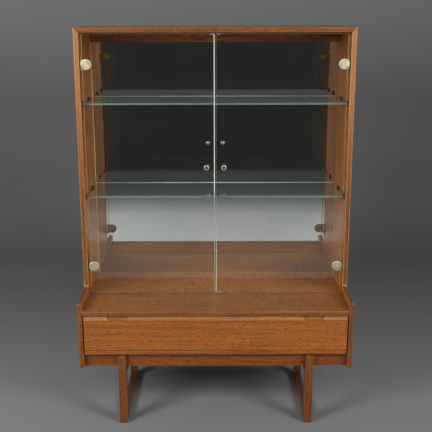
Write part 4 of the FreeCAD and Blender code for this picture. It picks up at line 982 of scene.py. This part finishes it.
def stand_for(piece: bpy.types.Object, node: str, body: str, finish: Finish) -> None:
    """Lets a modelled piece stand for a node.

    Args:
        piece: the modelled piece.
        node: the node that it stands for.
        body: the body that it rides on.
        finish: its finish.
    """
    finish.lay_on(piece)
    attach(piece, body)
    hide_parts(node)


def dress(finish: Finish, *names: str) -> None:
    """Gives nodes of the frame a finish."""
    finish.lay_on(*(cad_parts[name] for name in names))


def mid(node: str) -> Vector:
    """The middle of a node's box."""
    low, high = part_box(node)
    return (low + high) / 2


@dataclass(frozen=True)
class ScrewSize:
    """Sizes of a screw: its shank's radius and length, and its head's radius and height."""

    radius: float
    length: float
    head: float
    rise: float


@dataclass
class Fasteners:
    """Slotted screws and panel pins, modelled once and copied."""

    slot_width: float = 0.8 * MM
    slot_depth: float = 0.9 * MM
    slot_arris: float = 0.05 * MM
    tip_share: float = 0.25
    taper_share: float = 1.5
    dome: Profile = ((0.97, 0.0), (1.0, 0.12), (0.93, 0.5), (0.74, 0.8), (0.42, 0.96), (0.1, 1.0))
    cone: Profile = ((0.98, -0.06), (0.95, 0.0), (0.1, 0.0))
    pin: Profile = (
        (0.15 * MM, -14 * MM), (0.8 * MM, -12.4 * MM), (0.8 * MM, 0.0), (1.9 * MM, 0.02 * MM),
        (2.0 * MM, 0.2 * MM), (1.7 * MM, 0.52 * MM), (1.0 * MM, 0.74 * MM), (0.2 * MM, 0.8 * MM))

    def slotted(self, name: str, size: ScrewSize, neck: float, head: Profile, top: float) -> bpy.types.Object:
        """A turned screw with a slot across its head.

        Args:
            name: the screw's name.
            size: its sizes.
            neck: the height where its shank meets its head.
            head: the profile of its head.
            top: the height of its crown.

        Returns:
            The screw, with its head up.
        """
        shank = ((self.tip_share * size.radius, -size.length),
                 (size.radius, -size.length + self.taper_share * size.radius), (size.radius, neck))
        screw = Bench.turn(name, shank + head, sides=32)
        reach = 2 * max(radius for radius, _ in shank + head)
        cutter = Bench.block(name + "_slot", Vector((-reach, -self.slot_width / 2, top - self.slot_depth)),
                             Vector((reach, self.slot_width / 2, top + reach)), self.slot_arris, segments=1)
        Bench.take_out(screw, cutter)
        return Bench.smooth(screw)

    def round_head(self, name: str, size: ScrewSize) -> bpy.types.Object:
        """A round-headed screw whose head rises from zero and whose shank hangs below."""
        return self.slotted(name, size, 0.0, scaled(self.dome, size.head, size.rise), size.rise)

    def sunk_head(self, name: str, size: ScrewSize) -> bpy.types.Object:
        """A countersunk screw whose flat head lies at zero."""
        return self.slotted(name, size, -size.rise, scaled(self.cone, size.head, size.rise), 0.0)

    def panel_pin(self, name: str) -> bpy.types.Object:
        """A panel pin with a small domed head."""
        return Bench.smooth(Bench.turn(name, self.pin, sides=20))

    @staticmethod
    def drive(master: bpy.types.Object, name: str, spots: Iterable[Spot], node: str, body: str) -> None:
        """Copies a screw or pin to its spots, and lets the copies stand for a node."""
        stand_for(Bench.repeat(master, name, spots), node, body, STEEL)


@dataclass
class Carcass:
    """The boards of the case, its back rail and front rail, and its hidden dowels."""

    step_height: float = 440 * MM
    front_limit: float = -0.3

    def front_faces(self, node: str) -> list[bpy.types.MeshPolygon]:
        """The faces of a node that look to the front."""
        return [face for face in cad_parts[node].data.polygons if face.normal.y < self.front_limit]

    def lip_sides(self) -> None:
        """Gives the front edges of the side panels their lipping, with painted light and highlights above the
        step and a darker copy that paints shade below it.
        """
        for node in ("left_side_panel", "right_side_panel"):
            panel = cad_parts[node].data
            panel.materials.append(EDGE_UPRIGHT.material())
            panel.materials.append(SHADED_BASE_UPRIGHT.material())
            for face in self.front_faces(node):
                # Faces above the step take painted light and highlights; faces below take the darker copy
                # that paints shade.
                face.material_index = 1 if face.center.z > self.step_height else 2

    def lip_ledge(self) -> None:
        """Gives the front edge of the ledge its darker lipping."""
        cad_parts["display_floor"].data.materials.append(VENEER_ACROSS.material())
        for face in self.front_faces("display_floor"):
            face.material_index = 1

    def build(self) -> None:
        """Finishes the boards with their grain along their length."""
        dress(VENEER_UPRIGHT, "left_side_panel", "right_side_panel")
        self.lip_sides()
        dress(VENEER_ACROSS, "top_panel", "case_bottom")
        dress(VENEER_POLISHED, "display_floor")
        self.lip_ledge()
        dress(SOLID_ACROSS, "front_rail", "top_back_rail")
        dress(BEECH_ACROSS, "carcass_dowels")


@dataclass
class Back:
    """The mirror, the plywood behind it and the pins that hold both."""

    pin_column: float = 448 * MM
    column_heights: tuple[float, ...] = (0.25296, 0.46177, 0.65959, 0.85741, 1.05523, 1.26404)
    pin_rows: tuple[float, ...] = (1.306, 0.4005, 0.215)
    row_places: tuple[float, ...] = (-0.33, -0.11, 0.11, 0.33)

    def pin_spots(self) -> list[Spot]:
        """Where the pins stand on the back panel.

        Returns:
            The spots of both columns, then of the rows.
        """
        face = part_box("back_panel")[1].y
        columns = [(side * self.pin_column, height) for side in Side for height in self.column_heights]
        rows = [(across, height) for height in self.pin_rows for across in self.row_places]
        return [((across, face, height), Facing.BACK) for across, height in columns + rows]

    def build(self) -> None:
        """Finishes the mirror and the panel and models the pins."""
        dress(SILVERING, "mirror")
        dress(PLY_UPRIGHT, "back_panel")
        fasteners = Fasteners()
        fasteners.drive(fasteners.panel_pin("panel_pin"), "panel_pins", self.pin_spots(), "back_panel_pins",
                        "cabinet")


@dataclass
class Pane:
    """A sheet of glass with ground edges."""

    node: str
    body: str
    broad_axis: Axis
    edge: Finish
    marked_edges: tuple[tuple[Finish, Vector], ...]
    arris: float
    arris_steps: int = 1
    broad_limit: float = 0.999
    edge_limit: float = 0.1
    drill_reach: float = 3.0

    def edge_number(self, normal: Vector) -> int:
        """Which of the sheet's materials a face has.

        Args:
            normal: the way that the face looks.

        Returns:
            0 for clear glass, 1 for a ground edge, or the number of a marked edge's own finish.
        """
        if abs(normal[self.broad_axis]) > self.broad_limit:
            return 0
        marked = [number for number, (_, way) in enumerate(self.marked_edges, 2)
                  if normal.dot(way) > self.edge_limit]
        return marked[0] if marked else 1

    def build(self, holes: Iterable[tuple[Point, float]] = ()) -> bpy.types.Object:
        """Models the sheet in its node's place.

        Args:
            holes: a point and a radius for each hole that runs from front to back.

        Returns:
            The sheet, clear on its broad faces and ground on its edges.
        """
        low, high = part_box(self.node)
        sheet = Bench.block(self.node + "_sheet", low, high, self.arris, self.arris_steps)
        stand_for(sheet, self.node, self.body, CLEAR_GLASS)
        for finish in (self.edge, *(finish for finish, _ in self.marked_edges)):
            sheet.data.materials.append(finish.material())
        for face in sheet.data.polygons:
            face.material_index = self.edge_number(face.normal)
        depth = self.drill_reach * (high.y - low.y)
        for count, (place, radius) in enumerate(holes):
            drill = Bench.turn(f"{self.node}_drill_{count}", ((radius, -depth), (radius, depth)), sides=40)
            drill.location = place
            drill.rotation_euler = Facing.FRONT.value
            self.edge.lay_on(Bench.settle(drill, drill.name))
            Bench.take_out(sheet, drill)
        return sheet


@dataclass
class Shelves:
    """Two glass shelves and the slotted studs that grip their ends."""

    arris: float = 0.6 * MM
    stud_radius: float = 10.5 * MM
    stud_length: float = 7 * MM
    stud_round: float = 0.9 * MM
    stud_nick: float = 0.3
    stud_centre: float = 0.2
    web: float = 2.2 * MM
    peg_radius: float = 2.5 * MM
    peg_length: float = 9 * MM
    peg_tip: float = 0.7
    slot: float = 6.4 * MM
    slot_arris: float = 0.3 * MM
    stud_places: Span = (-15 * MM, 103 * MM)
    side_inner: float = 440 * MM

    def stud(self) -> bpy.types.Object:
        """One stud with its peg below zero and a slot in its face.

        Returns:
            The stud, with its face up.
        """
        rim, face, ease = self.stud_radius, self.stud_length, self.stud_round
        nick = self.stud_nick * ease
        stud = Bench.turn("shelf_stud", (
            (self.peg_tip * self.peg_radius, -self.peg_length),
            (self.peg_radius, -self.peg_length + ease),
            (self.peg_radius, 0.0), (rim - nick, 0.0), (rim, nick), (rim, face - ease),
            (rim - nick, face - nick), (rim - ease, face), (self.stud_centre * rim, face)), sides=40)
        cutter = Bench.block("stud_slot", Vector((-self.slot / 2, -2 * rim, self.web)),
                             Vector((self.slot / 2, 2 * rim, 2 * face)), self.slot_arris, segments=1)
        Bench.take_out(stud, cutter)
        return Bench.smooth(stud)

    def build(self) -> None:
        """Models the shelves and all studs."""
        spots = []
        # The rear edge of each shelf takes a near-white copy of the ground edge, a painted highlight.
        rear_edge = ((SHELF_REAR_EDGE, Vector((0.0, 1.0, 0.0))),)
        for node in ("upper_shelf", "lower_shelf"):
            Pane(node, "cabinet", Axis.Z, SHELF_EDGE, rear_edge, self.arris).build()
            height = mid(node).z
            spots += [((side * self.side_inner, place, height), side.inward)
                      for side in Side for place in self.stud_places]
        studs = Bench.repeat(self.stud(), "studs", spots)
        stand_for(studs, "shelf_studs", "cabinet", BROWN_PLASTIC)


@dataclass
class Doors:
    """Two glass doors with their hinges, knobs and clips."""

    cap_radius: float = 17.3 * MM
    cap_reach: float = 2.6 * MM
    cap_shares: Profile = (
        (0.985, 0.0), (1.0, 0.1), (1.0, 0.42), (0.985, 0.64), (0.95, 0.82), (0.9, 0.93), (0.83, 1.0),
        (0.74, 1.0), (0.72, 0.5), (0.6, 0.5), (0.58, 0.98), (0.36, 0.94), (0.32, 0.55), (0.18, 0.55),
        (0.15, 0.94), (0.03, 0.97))
    cap_crease: float = 24.0
    cap_screw: ScrewSize = ScrewSize(2 * MM, 8 * MM, 3.5 * MM, 2 * MM)
    boss_reach: float = 4.7 * MM
    boss_radius: float = 4 * MM
    boss_tip: float = 0.8
    boss_round: float = 0.3 * MM
    hole_play: float = 1 * MM
    knob_radius: float = 8.8 * MM
    knob_reach: float = 14 * MM
    knob_shares: Profile = (
        (0.51, 0.0), (0.49, 0.14), (0.5, 0.32), (0.62, 0.48), (0.84, 0.63), (0.97, 0.72), (1.0, 0.8),
        (1.0, 0.89), (0.96, 0.94), (0.87, 0.98), (0.74, 1.0), (0.62, 0.99))
    hollow_shares: Profile = ((1.08, 0.96), (1.0, 0.92), (1.0, 0.7), (0.2, 0.7))
    knob_crease: float = 40.0
    knob_hole: float = 2.5 * MM
    knob_screw: ScrewSize = ScrewSize(1.5 * MM, 10 * MM, 4 * MM, 2.2 * MM)
    eye_radius: float = 4.8 * MM
    eye_fit: float = 0.96
    eye_shares: Profile = ((0.9, 0.702), (1.0, 0.71), (0.96, 0.74), (0.6, 0.73), (0.1, 0.72))
    clamp_crown: float = -34.5 * MM
    glass_rear: float = -40 * MM
    glass_round: float = 1.9 * MM
    glass_round_steps: int = 4
    plate_face: float = 438 * MM
    plate_screw: ScrewSize = ScrewSize(1.5 * MM, 12 * MM, 3 * MM, 2 * MM)
    plate_screw_depth: float = -26.3 * MM
    plate_screw_rise: float = 11 * MM

    def hinge_heights(self) -> Span:
        """The heights of the lower and upper hinges."""
        low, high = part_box("left_hinge_caps")
        return low.z + self.cap_radius, high.z - self.cap_radius

    def cap(self) -> bpy.types.Object:
        """A hinge cap: a soft rim, a ring groove, a dished centre and the boss behind.

        Returns:
            The cap, with its face up.
        """
        boss = ((self.boss_tip * self.boss_radius, -self.boss_reach),
                (self.boss_radius, self.boss_round - self.boss_reach), (self.boss_radius, 0.0))
        face = scaled(self.cap_shares, self.cap_radius, self.cap_reach)
        return Bench.smooth(Bench.turn("hinge_cap", boss + face, sides=72), self.cap_crease)

    def knob(self) -> bpy.types.Object:
        """A small waisted knob with a soft rim and a hollow in its face.

        Returns:
            The knob, with its face up.
        """
        body = scaled(self.knob_shares, self.knob_radius, self.knob_reach)
        hollow = scaled(self.hollow_shares, self.eye_radius, self.knob_reach)
        return Bench.smooth(Bench.turn("door_knob", body + hollow, sides=48), self.knob_crease)

    def eye(self) -> bpy.types.Object:
        """The dark plug in the hollow of a knob, which paints the shade in the hollow."""
        profile = scaled(self.eye_shares, self.eye_fit * self.eye_radius, self.knob_reach)
        return Bench.smooth(Bench.turn("knob_eye", profile, sides=32), self.knob_crease)

    def build_leaf(self, side: Side) -> None:
        """One door: glass, caps, knob, screws and clips.

        Args:
            side: which door it is.
        """
        name, body = side.label, side.label + "_door"
        heights = self.hinge_heights()
        cap_across, knob_place = mid(name + "_hinge_caps").x, mid(name + "_door_knob")
        glass_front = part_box(name + "_door_glass")[0].y
        washer_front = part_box(name + "_hinge_washers")[0].y
        cap_hole = self.boss_radius + self.hole_play
        holes = [((cap_across, glass_front, height), cap_hole) for height in heights]
        holes.append(((knob_place.x, glass_front, knob_place.z), self.knob_hole))
        # Each edge of a door takes its own copy of the ground edge, toned to paint the light and shade on it.
        meeting_edge = LEFT_MEETING_EDGE if side is Side.LEFT else RIGHT_MEETING_EDGE
        marked = ((meeting_edge, Vector((-side, 0.0, 0.0))), (HINGE_DOOR_EDGE, Vector((side, 0.0, 0.0))),
                  (PALE_DOOR_EDGE, Vector((0.0, 0.0, -1.0))))
        Pane(name + "_door_glass", body, Axis.Y, DOOR_EDGE, marked, self.glass_round,
             self.glass_round_steps).build(holes)
        caps = Bench.repeat(self.cap(), name + "_caps",
                            [((cap_across, washer_front, height), Facing.FRONT) for height in heights])
        stand_for(caps, name + "_hinge_caps", body, PALE_CAP)
        knob_spot = [((knob_place.x, glass_front, knob_place.z), Facing.FRONT)]
        knob = Bench.repeat(self.knob(), name + "_knob", knob_spot)
        stand_for(knob, name + "_door_knob", body, KNOB_METAL)
        # A dark plug that paints the shade in the hollow of the knob.
        eye = Bench.repeat(self.eye(), name + "_knob_eye", knob_spot)
        BROWN_PLASTIC.lay_on(eye)
        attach(eye, body)
        fasteners = Fasteners()
        fasteners.drive(
            fasteners.round_head("cap_screw", self.cap_screw), name + "_cap_screws",
            [((cap_across, self.clamp_crown, height), Facing.BACK) for height in heights],
            name + "_hinge_cap_screws", body)
        fasteners.drive(
            fasteners.round_head("knob_screw", self.knob_screw), name + "_knob_bolt",
            [((knob_place.x, self.glass_rear, knob_place.z), Facing.BACK)], name + "_knob_screw", body)
        dress(BRASS, name + "_hinge_clamps")
        # The washers paint the shadow ring round each cap.
        dress(SHADOW_RING_WASHER, name + "_hinge_washers")
        dress(DULL_STEEL, name + "_strike_clip")

    def build(self) -> None:
        """Both doors and the hinge parts that stay on the case."""
        for side in Side:
            self.build_leaf(side)
        dress(CLIP_METAL, "right_foot_clip")
        dress(STEEL, "hinge_pins")
        dress(BRASS, "hinge_plates")
        spots = [((side * self.plate_face, self.plate_screw_depth, height + lift), side.inward)
                 for side in Side for height in self.hinge_heights()
                 for lift in (-self.plate_screw_rise, self.plate_screw_rise)]
        fasteners = Fasteners()
        fasteners.drive(fasteners.sunk_head("plate_screw", self.plate_screw), "plate_screws", spots,
                        "hinge_plate_screws", "cabinet")


@dataclass
class Catch:
    """The double catch under the top, with its pole plates and screws."""

    arris: float = 0.8 * MM
    plate_width: float = 10 * MM
    plate_height: float = 4.4 * MM
    plate_reach: float = 0.2 * MM
    plate_sink: float = 2 * MM
    plate_arris: float = 0.15 * MM
    plate_place: float = 11.5 * MM
    screw: ScrewSize = ScrewSize(1.5 * MM, 16 * MM, 3 * MM, 1.5 * MM)
    screw_place: float = 12 * MM
    bore_radius: float = 1.6 * MM
    bore_reach: float = 20 * MM

    def build(self) -> None:
        """Models the catch in its node's place."""
        low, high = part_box("door_catch")
        screw_depth = mid("catch_screws").y
        case = Bench.smooth(Bench.block("catch_case", low, high, self.arris))
        ends = ((self.bore_radius, -self.bore_reach), (self.bore_radius, self.bore_reach))
        for side in Side:
            bore = Bench.turn("catch_bore", ends, sides=24)
            bore.location = (side * self.screw_place, screw_depth, high.z)
            Bench.take_out(case, Bench.settle(bore, "catch_bore"))
        stand_for(case, "door_catch", "cabinet", BROWN_PLASTIC)
        half_width, half_height = self.plate_width / 2, self.plate_height / 2
        height = (low.z + high.z) / 2
        for side in Side:
            centre = side * self.plate_place
            plate = Bench.block(
                side.label + "_pole_plate",
                Vector((centre - half_width, low.y - self.plate_reach, height - half_height)),
                Vector((centre + half_width, low.y + self.plate_sink, height + half_height)),
                self.plate_arris)
            STEEL.lay_on(plate)
            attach(plate, "cabinet")
        fasteners = Fasteners()
        fasteners.drive(
            fasteners.round_head("catch_screw", self.screw), "catch_bolts",
            [((side * self.screw_place, screw_depth, low.z), Facing.DOWN) for side in Side],
            "catch_screws", "cabinet")


@dataclass
class Drawer:
    """The drawer, its runners and their screws."""

    screw: ScrewSize = ScrewSize(2 * MM, 16.5 * MM, 3.6 * MM, 3 * MM)
    screw_seat: float = 432.5 * MM
    screw_places: tuple[float, ...] = (-127.4 * MM, -5 * MM, 117.4 * MM)

    def build(self) -> None:
        """Finishes the boards and models the screws of the runners."""
        dress(DRAWER_VENEER, "drawer_front")
        dress(LIPPING, "drawer_top_lipping")
        dress(FOOT_LIPPING, "drawer_bottom_lipping")
        dress(BEECH_DEEP, "drawer_left_side", "drawer_right_side", "left_drawer_runner",
              "right_drawer_runner", "drawer_dowels")
        dress(BEECH_ACROSS, "drawer_back")
        dress(PLY_ACROSS, "drawer_bottom")
        height = mid("left_drawer_runner").z
        spots = [((side * self.screw_seat, place, height), side.inward)
                 for side in Side for place in self.screw_places]
        fasteners = Fasteners()
        fasteners.drive(fasteners.round_head("runner_screw", self.screw), "runner_screws", spots,
                        "drawer_runner_screws", "cabinet")


@dataclass
class LegFrames:
    """The two sled leg frames and the screws that hold them to the case."""

    screw: ScrewSize = ScrewSize(2.25 * MM, 31 * MM, 4 * MM, 3.6 * MM)
    screw_seat: float = 187 * MM
    screw_places: tuple[float, ...] = (-134.22 * MM, -16.5 * MM, 101.22 * MM)

    def build(self) -> None:
        """Finishes the frames and models their screws."""
        for side in Side:
            dress(LEG_UPRIGHT, side.label + "_front_leg", side.label + "_rear_leg")
            dress(SLED_DEEP, side.label + "_floor_runner", side.label + "_top_bar")
        dress(BEECH_DEEP, "leg_frame_dowels")
        spots = [((mid(side.label + "_top_bar").x, place, self.screw_seat), Facing.DOWN)
                 for side in Side for place in self.screw_places]
        fasteners = Fasteners()
        fasteners.drive(fasteners.round_head("bar_screw", self.screw), "bar_screws", spots, "top_bar_screws",
                        "cabinet")


# The stops paint the studio's light: the floor is brightest in the pool of light in front of the case and
# darker away from it, and the wall is darker in the foot of the cove.
FLOOR_PAPER = PaperFinish("floor_paper", Axis.Y, (
    (-2.85, paint(112, 112, 111)), (-2.25, paint(176, 176, 175)), (-1.6, grey(185)), (-0.3, grey(137)),
    (0.2, grey(142)), (0.8, grey(129)), (1.5, grey(113))), painted_falloff=0.16, tooth=0.04)
WALL_PAPER = PaperFinish("wall_paper", Axis.Z, (
    (0.0, grey(116)), (0.03, grey(106)), (0.07, grey(99)), (0.3, grey(110)), (0.6, grey(115)),
    (0.9, grey(106)), (1.5, grey(126))), painted_falloff=0.19, one_sided=True)
FLAG_CARD = PaperFinish("flag_card", Axis.Z, ((0.0, grey(30)), (0.2, grey(34))), tooth=0.05)
# A card that glows by its own light and is seen only in reflections: painted reflections of the room in the
# mirror and glass.
REFLECTION_GLOW_CARD = PaperFinish("reflection_glow_card", Axis.Z, (
    (1.28, paint(40, 40, 39)), (1.335, paint(86, 89, 87)), (1.42, paint(92, 95, 93)),
    (1.56, paint(126, 130, 127))), glow=True)


@dataclass
class Studio:
    """Floor, backdrop, lamps and camera."""

    floor_half: float = 14.0
    wall_place: float = 1.75
    wall_half: float = 7.0
    wall_height: float = 4.0
    cove: float = 0.5
    cove_steps: int = 10
    flag_place: float = 0.24
    flag_half: float = 0.43
    flag_foot: float = 0.02
    flag_height: float = 0.165
    card_place: float = -2.85
    card_half: float = 6.0
    card_height: float = 4.5
    sheet_crease: float = 60.0
    lamp_place: Point = (2.2, -2.25, 1.95)
    lamp_target: Point = (0.0, 0.0, 0.75)
    lamp_size: Span = (1.1, 1.2)
    lamp_power: float = 79.0
    left_share: float = 1.06
    back_place: Point = (0.0, 3.2, 1.3)
    back_size: Span = (0.7, 0.5)
    back_power: float = 2.4
    back_spread: float = 36.0
    fill: float = 0.2
    lens: float = 66.26
    sensor: float = 36.0
    eye: Point = (0.00218, -2.6659, 1.3653)
    tilt: float = 75.534
    roll: float = -0.113

    def sheet(self, name: str, path: Profile, half: float, finish: Finish) -> bpy.types.Object:
        """A stage sheet swept along X.

        Args:
            name: the sheet's name.
            path: depth and height of each fold, from front to back or from foot to head.
            half: half of the sheet's width.
            finish: its paper.

        Returns:
            The sheet, as part of the stage.
        """
        Bench.deselect()
        depth, height = path[0]
        bpy.ops.mesh.primitive_plane_add(size=2.0, location=(0.0, 0.0, 0.0))
        piece = bpy.context.object
        bpy.ops.object.mode_set(mode="EDIT")
        bpy.ops.mesh.merge(type="CENTER")
        bpy.ops.transform.translate(value=(half, depth, height))
        bpy.ops.mesh.extrude_vertices_move(TRANSFORM_OT_translate={"value": (-2 * half, 0.0, 0.0)})
        bpy.ops.mesh.select_all(action="SELECT")
        for (depth, height), (next_depth, next_height) in zip(path, path[1:]):
            step = (0.0, next_depth - depth, next_height - height)
            bpy.ops.mesh.extrude_edges_move(TRANSFORM_OT_translate={"value": step})
        bpy.ops.object.mode_set(mode="OBJECT")
        Bench.smooth(Bench.settle(piece, name), self.sheet_crease)
        finish.lay_on(piece)
        return piece

    def cove_path(self) -> Profile:
        """Depth and height along the backdrop.

        Returns:
            A quarter round that rises from the floor, then the wall.
        """
        turns = [math.pi / 2 * step / self.cove_steps for step in range(self.cove_steps + 1)]
        foot = self.wall_place - self.cove
        rounded = [(foot + self.cove * math.sin(turn), self.cove - self.cove * math.cos(turn))
                   for turn in turns]
        return (*rounded, (self.wall_place, self.wall_height))

    @staticmethod
    def hide_from(piece: bpy.types.Object, *rays: str) -> None:
        """Hides a piece of the stage from kinds of rays."""
        for ray in rays:
            setattr(piece, "visible_" + ray, False)

    def build_set(self) -> None:
        """Floor, a backdrop for the camera, a glowing card that paints the reflections in the mirror and
        glass, and a flag low behind the case.
        """
        floor, card, flag = self.floor_half, self.card_place, self.flag_place
        self.sheet("floor", ((-floor, 0.0), (floor, 0.0)), floor, FLOOR_PAPER)
        wall = self.sheet("wall", self.cove_path(), self.wall_half, WALL_PAPER)
        self.hide_from(wall, "diffuse", "glossy", "shadow")
        # The glowing card paints what the mirror and glass reflect.
        dark = self.sheet("card", ((card, 0.0), (card, self.card_height)), self.card_half, REFLECTION_GLOW_CARD)
        self.hide_from(dark, "camera", "diffuse", "shadow")
        flag_path = ((flag, self.flag_foot), (flag, self.flag_height))
        low = self.sheet("flag", flag_path, self.flag_half, FLAG_CARD)
        self.hide_from(low, "camera", "glossy", "transmission")

    def hang_lamp(self, name: str, place: Point, size: Span, power: float,
                  spread: float = 180.0) -> bpy.types.Object:
        """A soft lamp that looks at the middle of the cabinet.

        Args:
            name: the lamp's name.
            place: where it hangs.
            size: its width and height.
            power: its power in watts.
            spread: how wide its beam opens, in degrees.

        Returns:
            The lamp's holder.
        """
        lamp = bpy.data.lights.new(name, "AREA")
        lamp.shape = "RECTANGLE"
        lamp.size, lamp.size_y = size
        lamp.energy = power
        lamp.spread = math.radians(spread)
        holder = bpy.data.objects.new(name, lamp)
        holder.location = place
        holder.rotation_euler = (Vector(self.lamp_target) - Vector(place)).to_track_quat("-Z", "Y").to_euler()
        holder.visible_transmission = False
        bpy.context.scene.collection.objects.link(holder)
        return holder

    def build_light(self) -> None:
        """Two soft lamps in front, a weak one behind that leaves the floor alone, and an even fill."""
        across, depth, height = self.lamp_place
        for side, share in ((Side.LEFT, self.left_share), (Side.RIGHT, 2 - self.left_share)):
            self.hang_lamp(side.label + "_softbox", (side * across, depth, height), self.lamp_size,
                           share * self.lamp_power)
        back = self.hang_lamp(
            "back_softbox", self.back_place, self.back_size, self.back_power, self.back_spread)
        back.visible_glossy = False
        unlit = bpy.data.collections.new("unlit_from_behind")
        unlit.objects.link(bpy.data.objects["floor"])
        unlit.collection_objects[0].light_linking.link_state = "EXCLUDE"
        back.light_linking.receiver_collection = unlit
        world = bpy.data.worlds.new("studio")
        world.use_nodes = True
        ground = world.node_tree.nodes["Background"]
        ground.inputs["Color"].default_value = WHITE
        ground.inputs["Strength"].default_value = self.fill
        bpy.context.scene.world = world

    def build_camera(self) -> None:
        """The camera where the photographer stood."""
        camera = bpy.data.cameras.new("camera")
        camera.lens = self.lens
        camera.sensor_width = self.sensor
        holder = bpy.data.objects.new("camera", camera)
        holder.location = self.eye
        holder.rotation_mode = "ZYX"
        holder.rotation_euler = (math.radians(self.tilt), 0.0, math.radians(self.roll))
        bpy.context.scene.collection.objects.link(holder)
        bpy.context.scene.camera = holder
        bpy.context.scene.view_settings.view_transform = "Standard"

    def build(self) -> None:
        """The whole studio."""
        self.build_set()
        self.build_light()
        self.build_camera()


def main() -> None:
    """Builds the cabinet's looks and the studio in order."""
    logging.basicConfig(level=logging.INFO, format="%(name)s: %(message)s")
    Studio().build()
    for part in (Carcass(), Back(), Shelves(), Doors(), Catch(), Drawer(), LegFrames()):
        part.build()
        log.info("%s built", type(part).__name__)


if __name__ == "__main__":
    main()
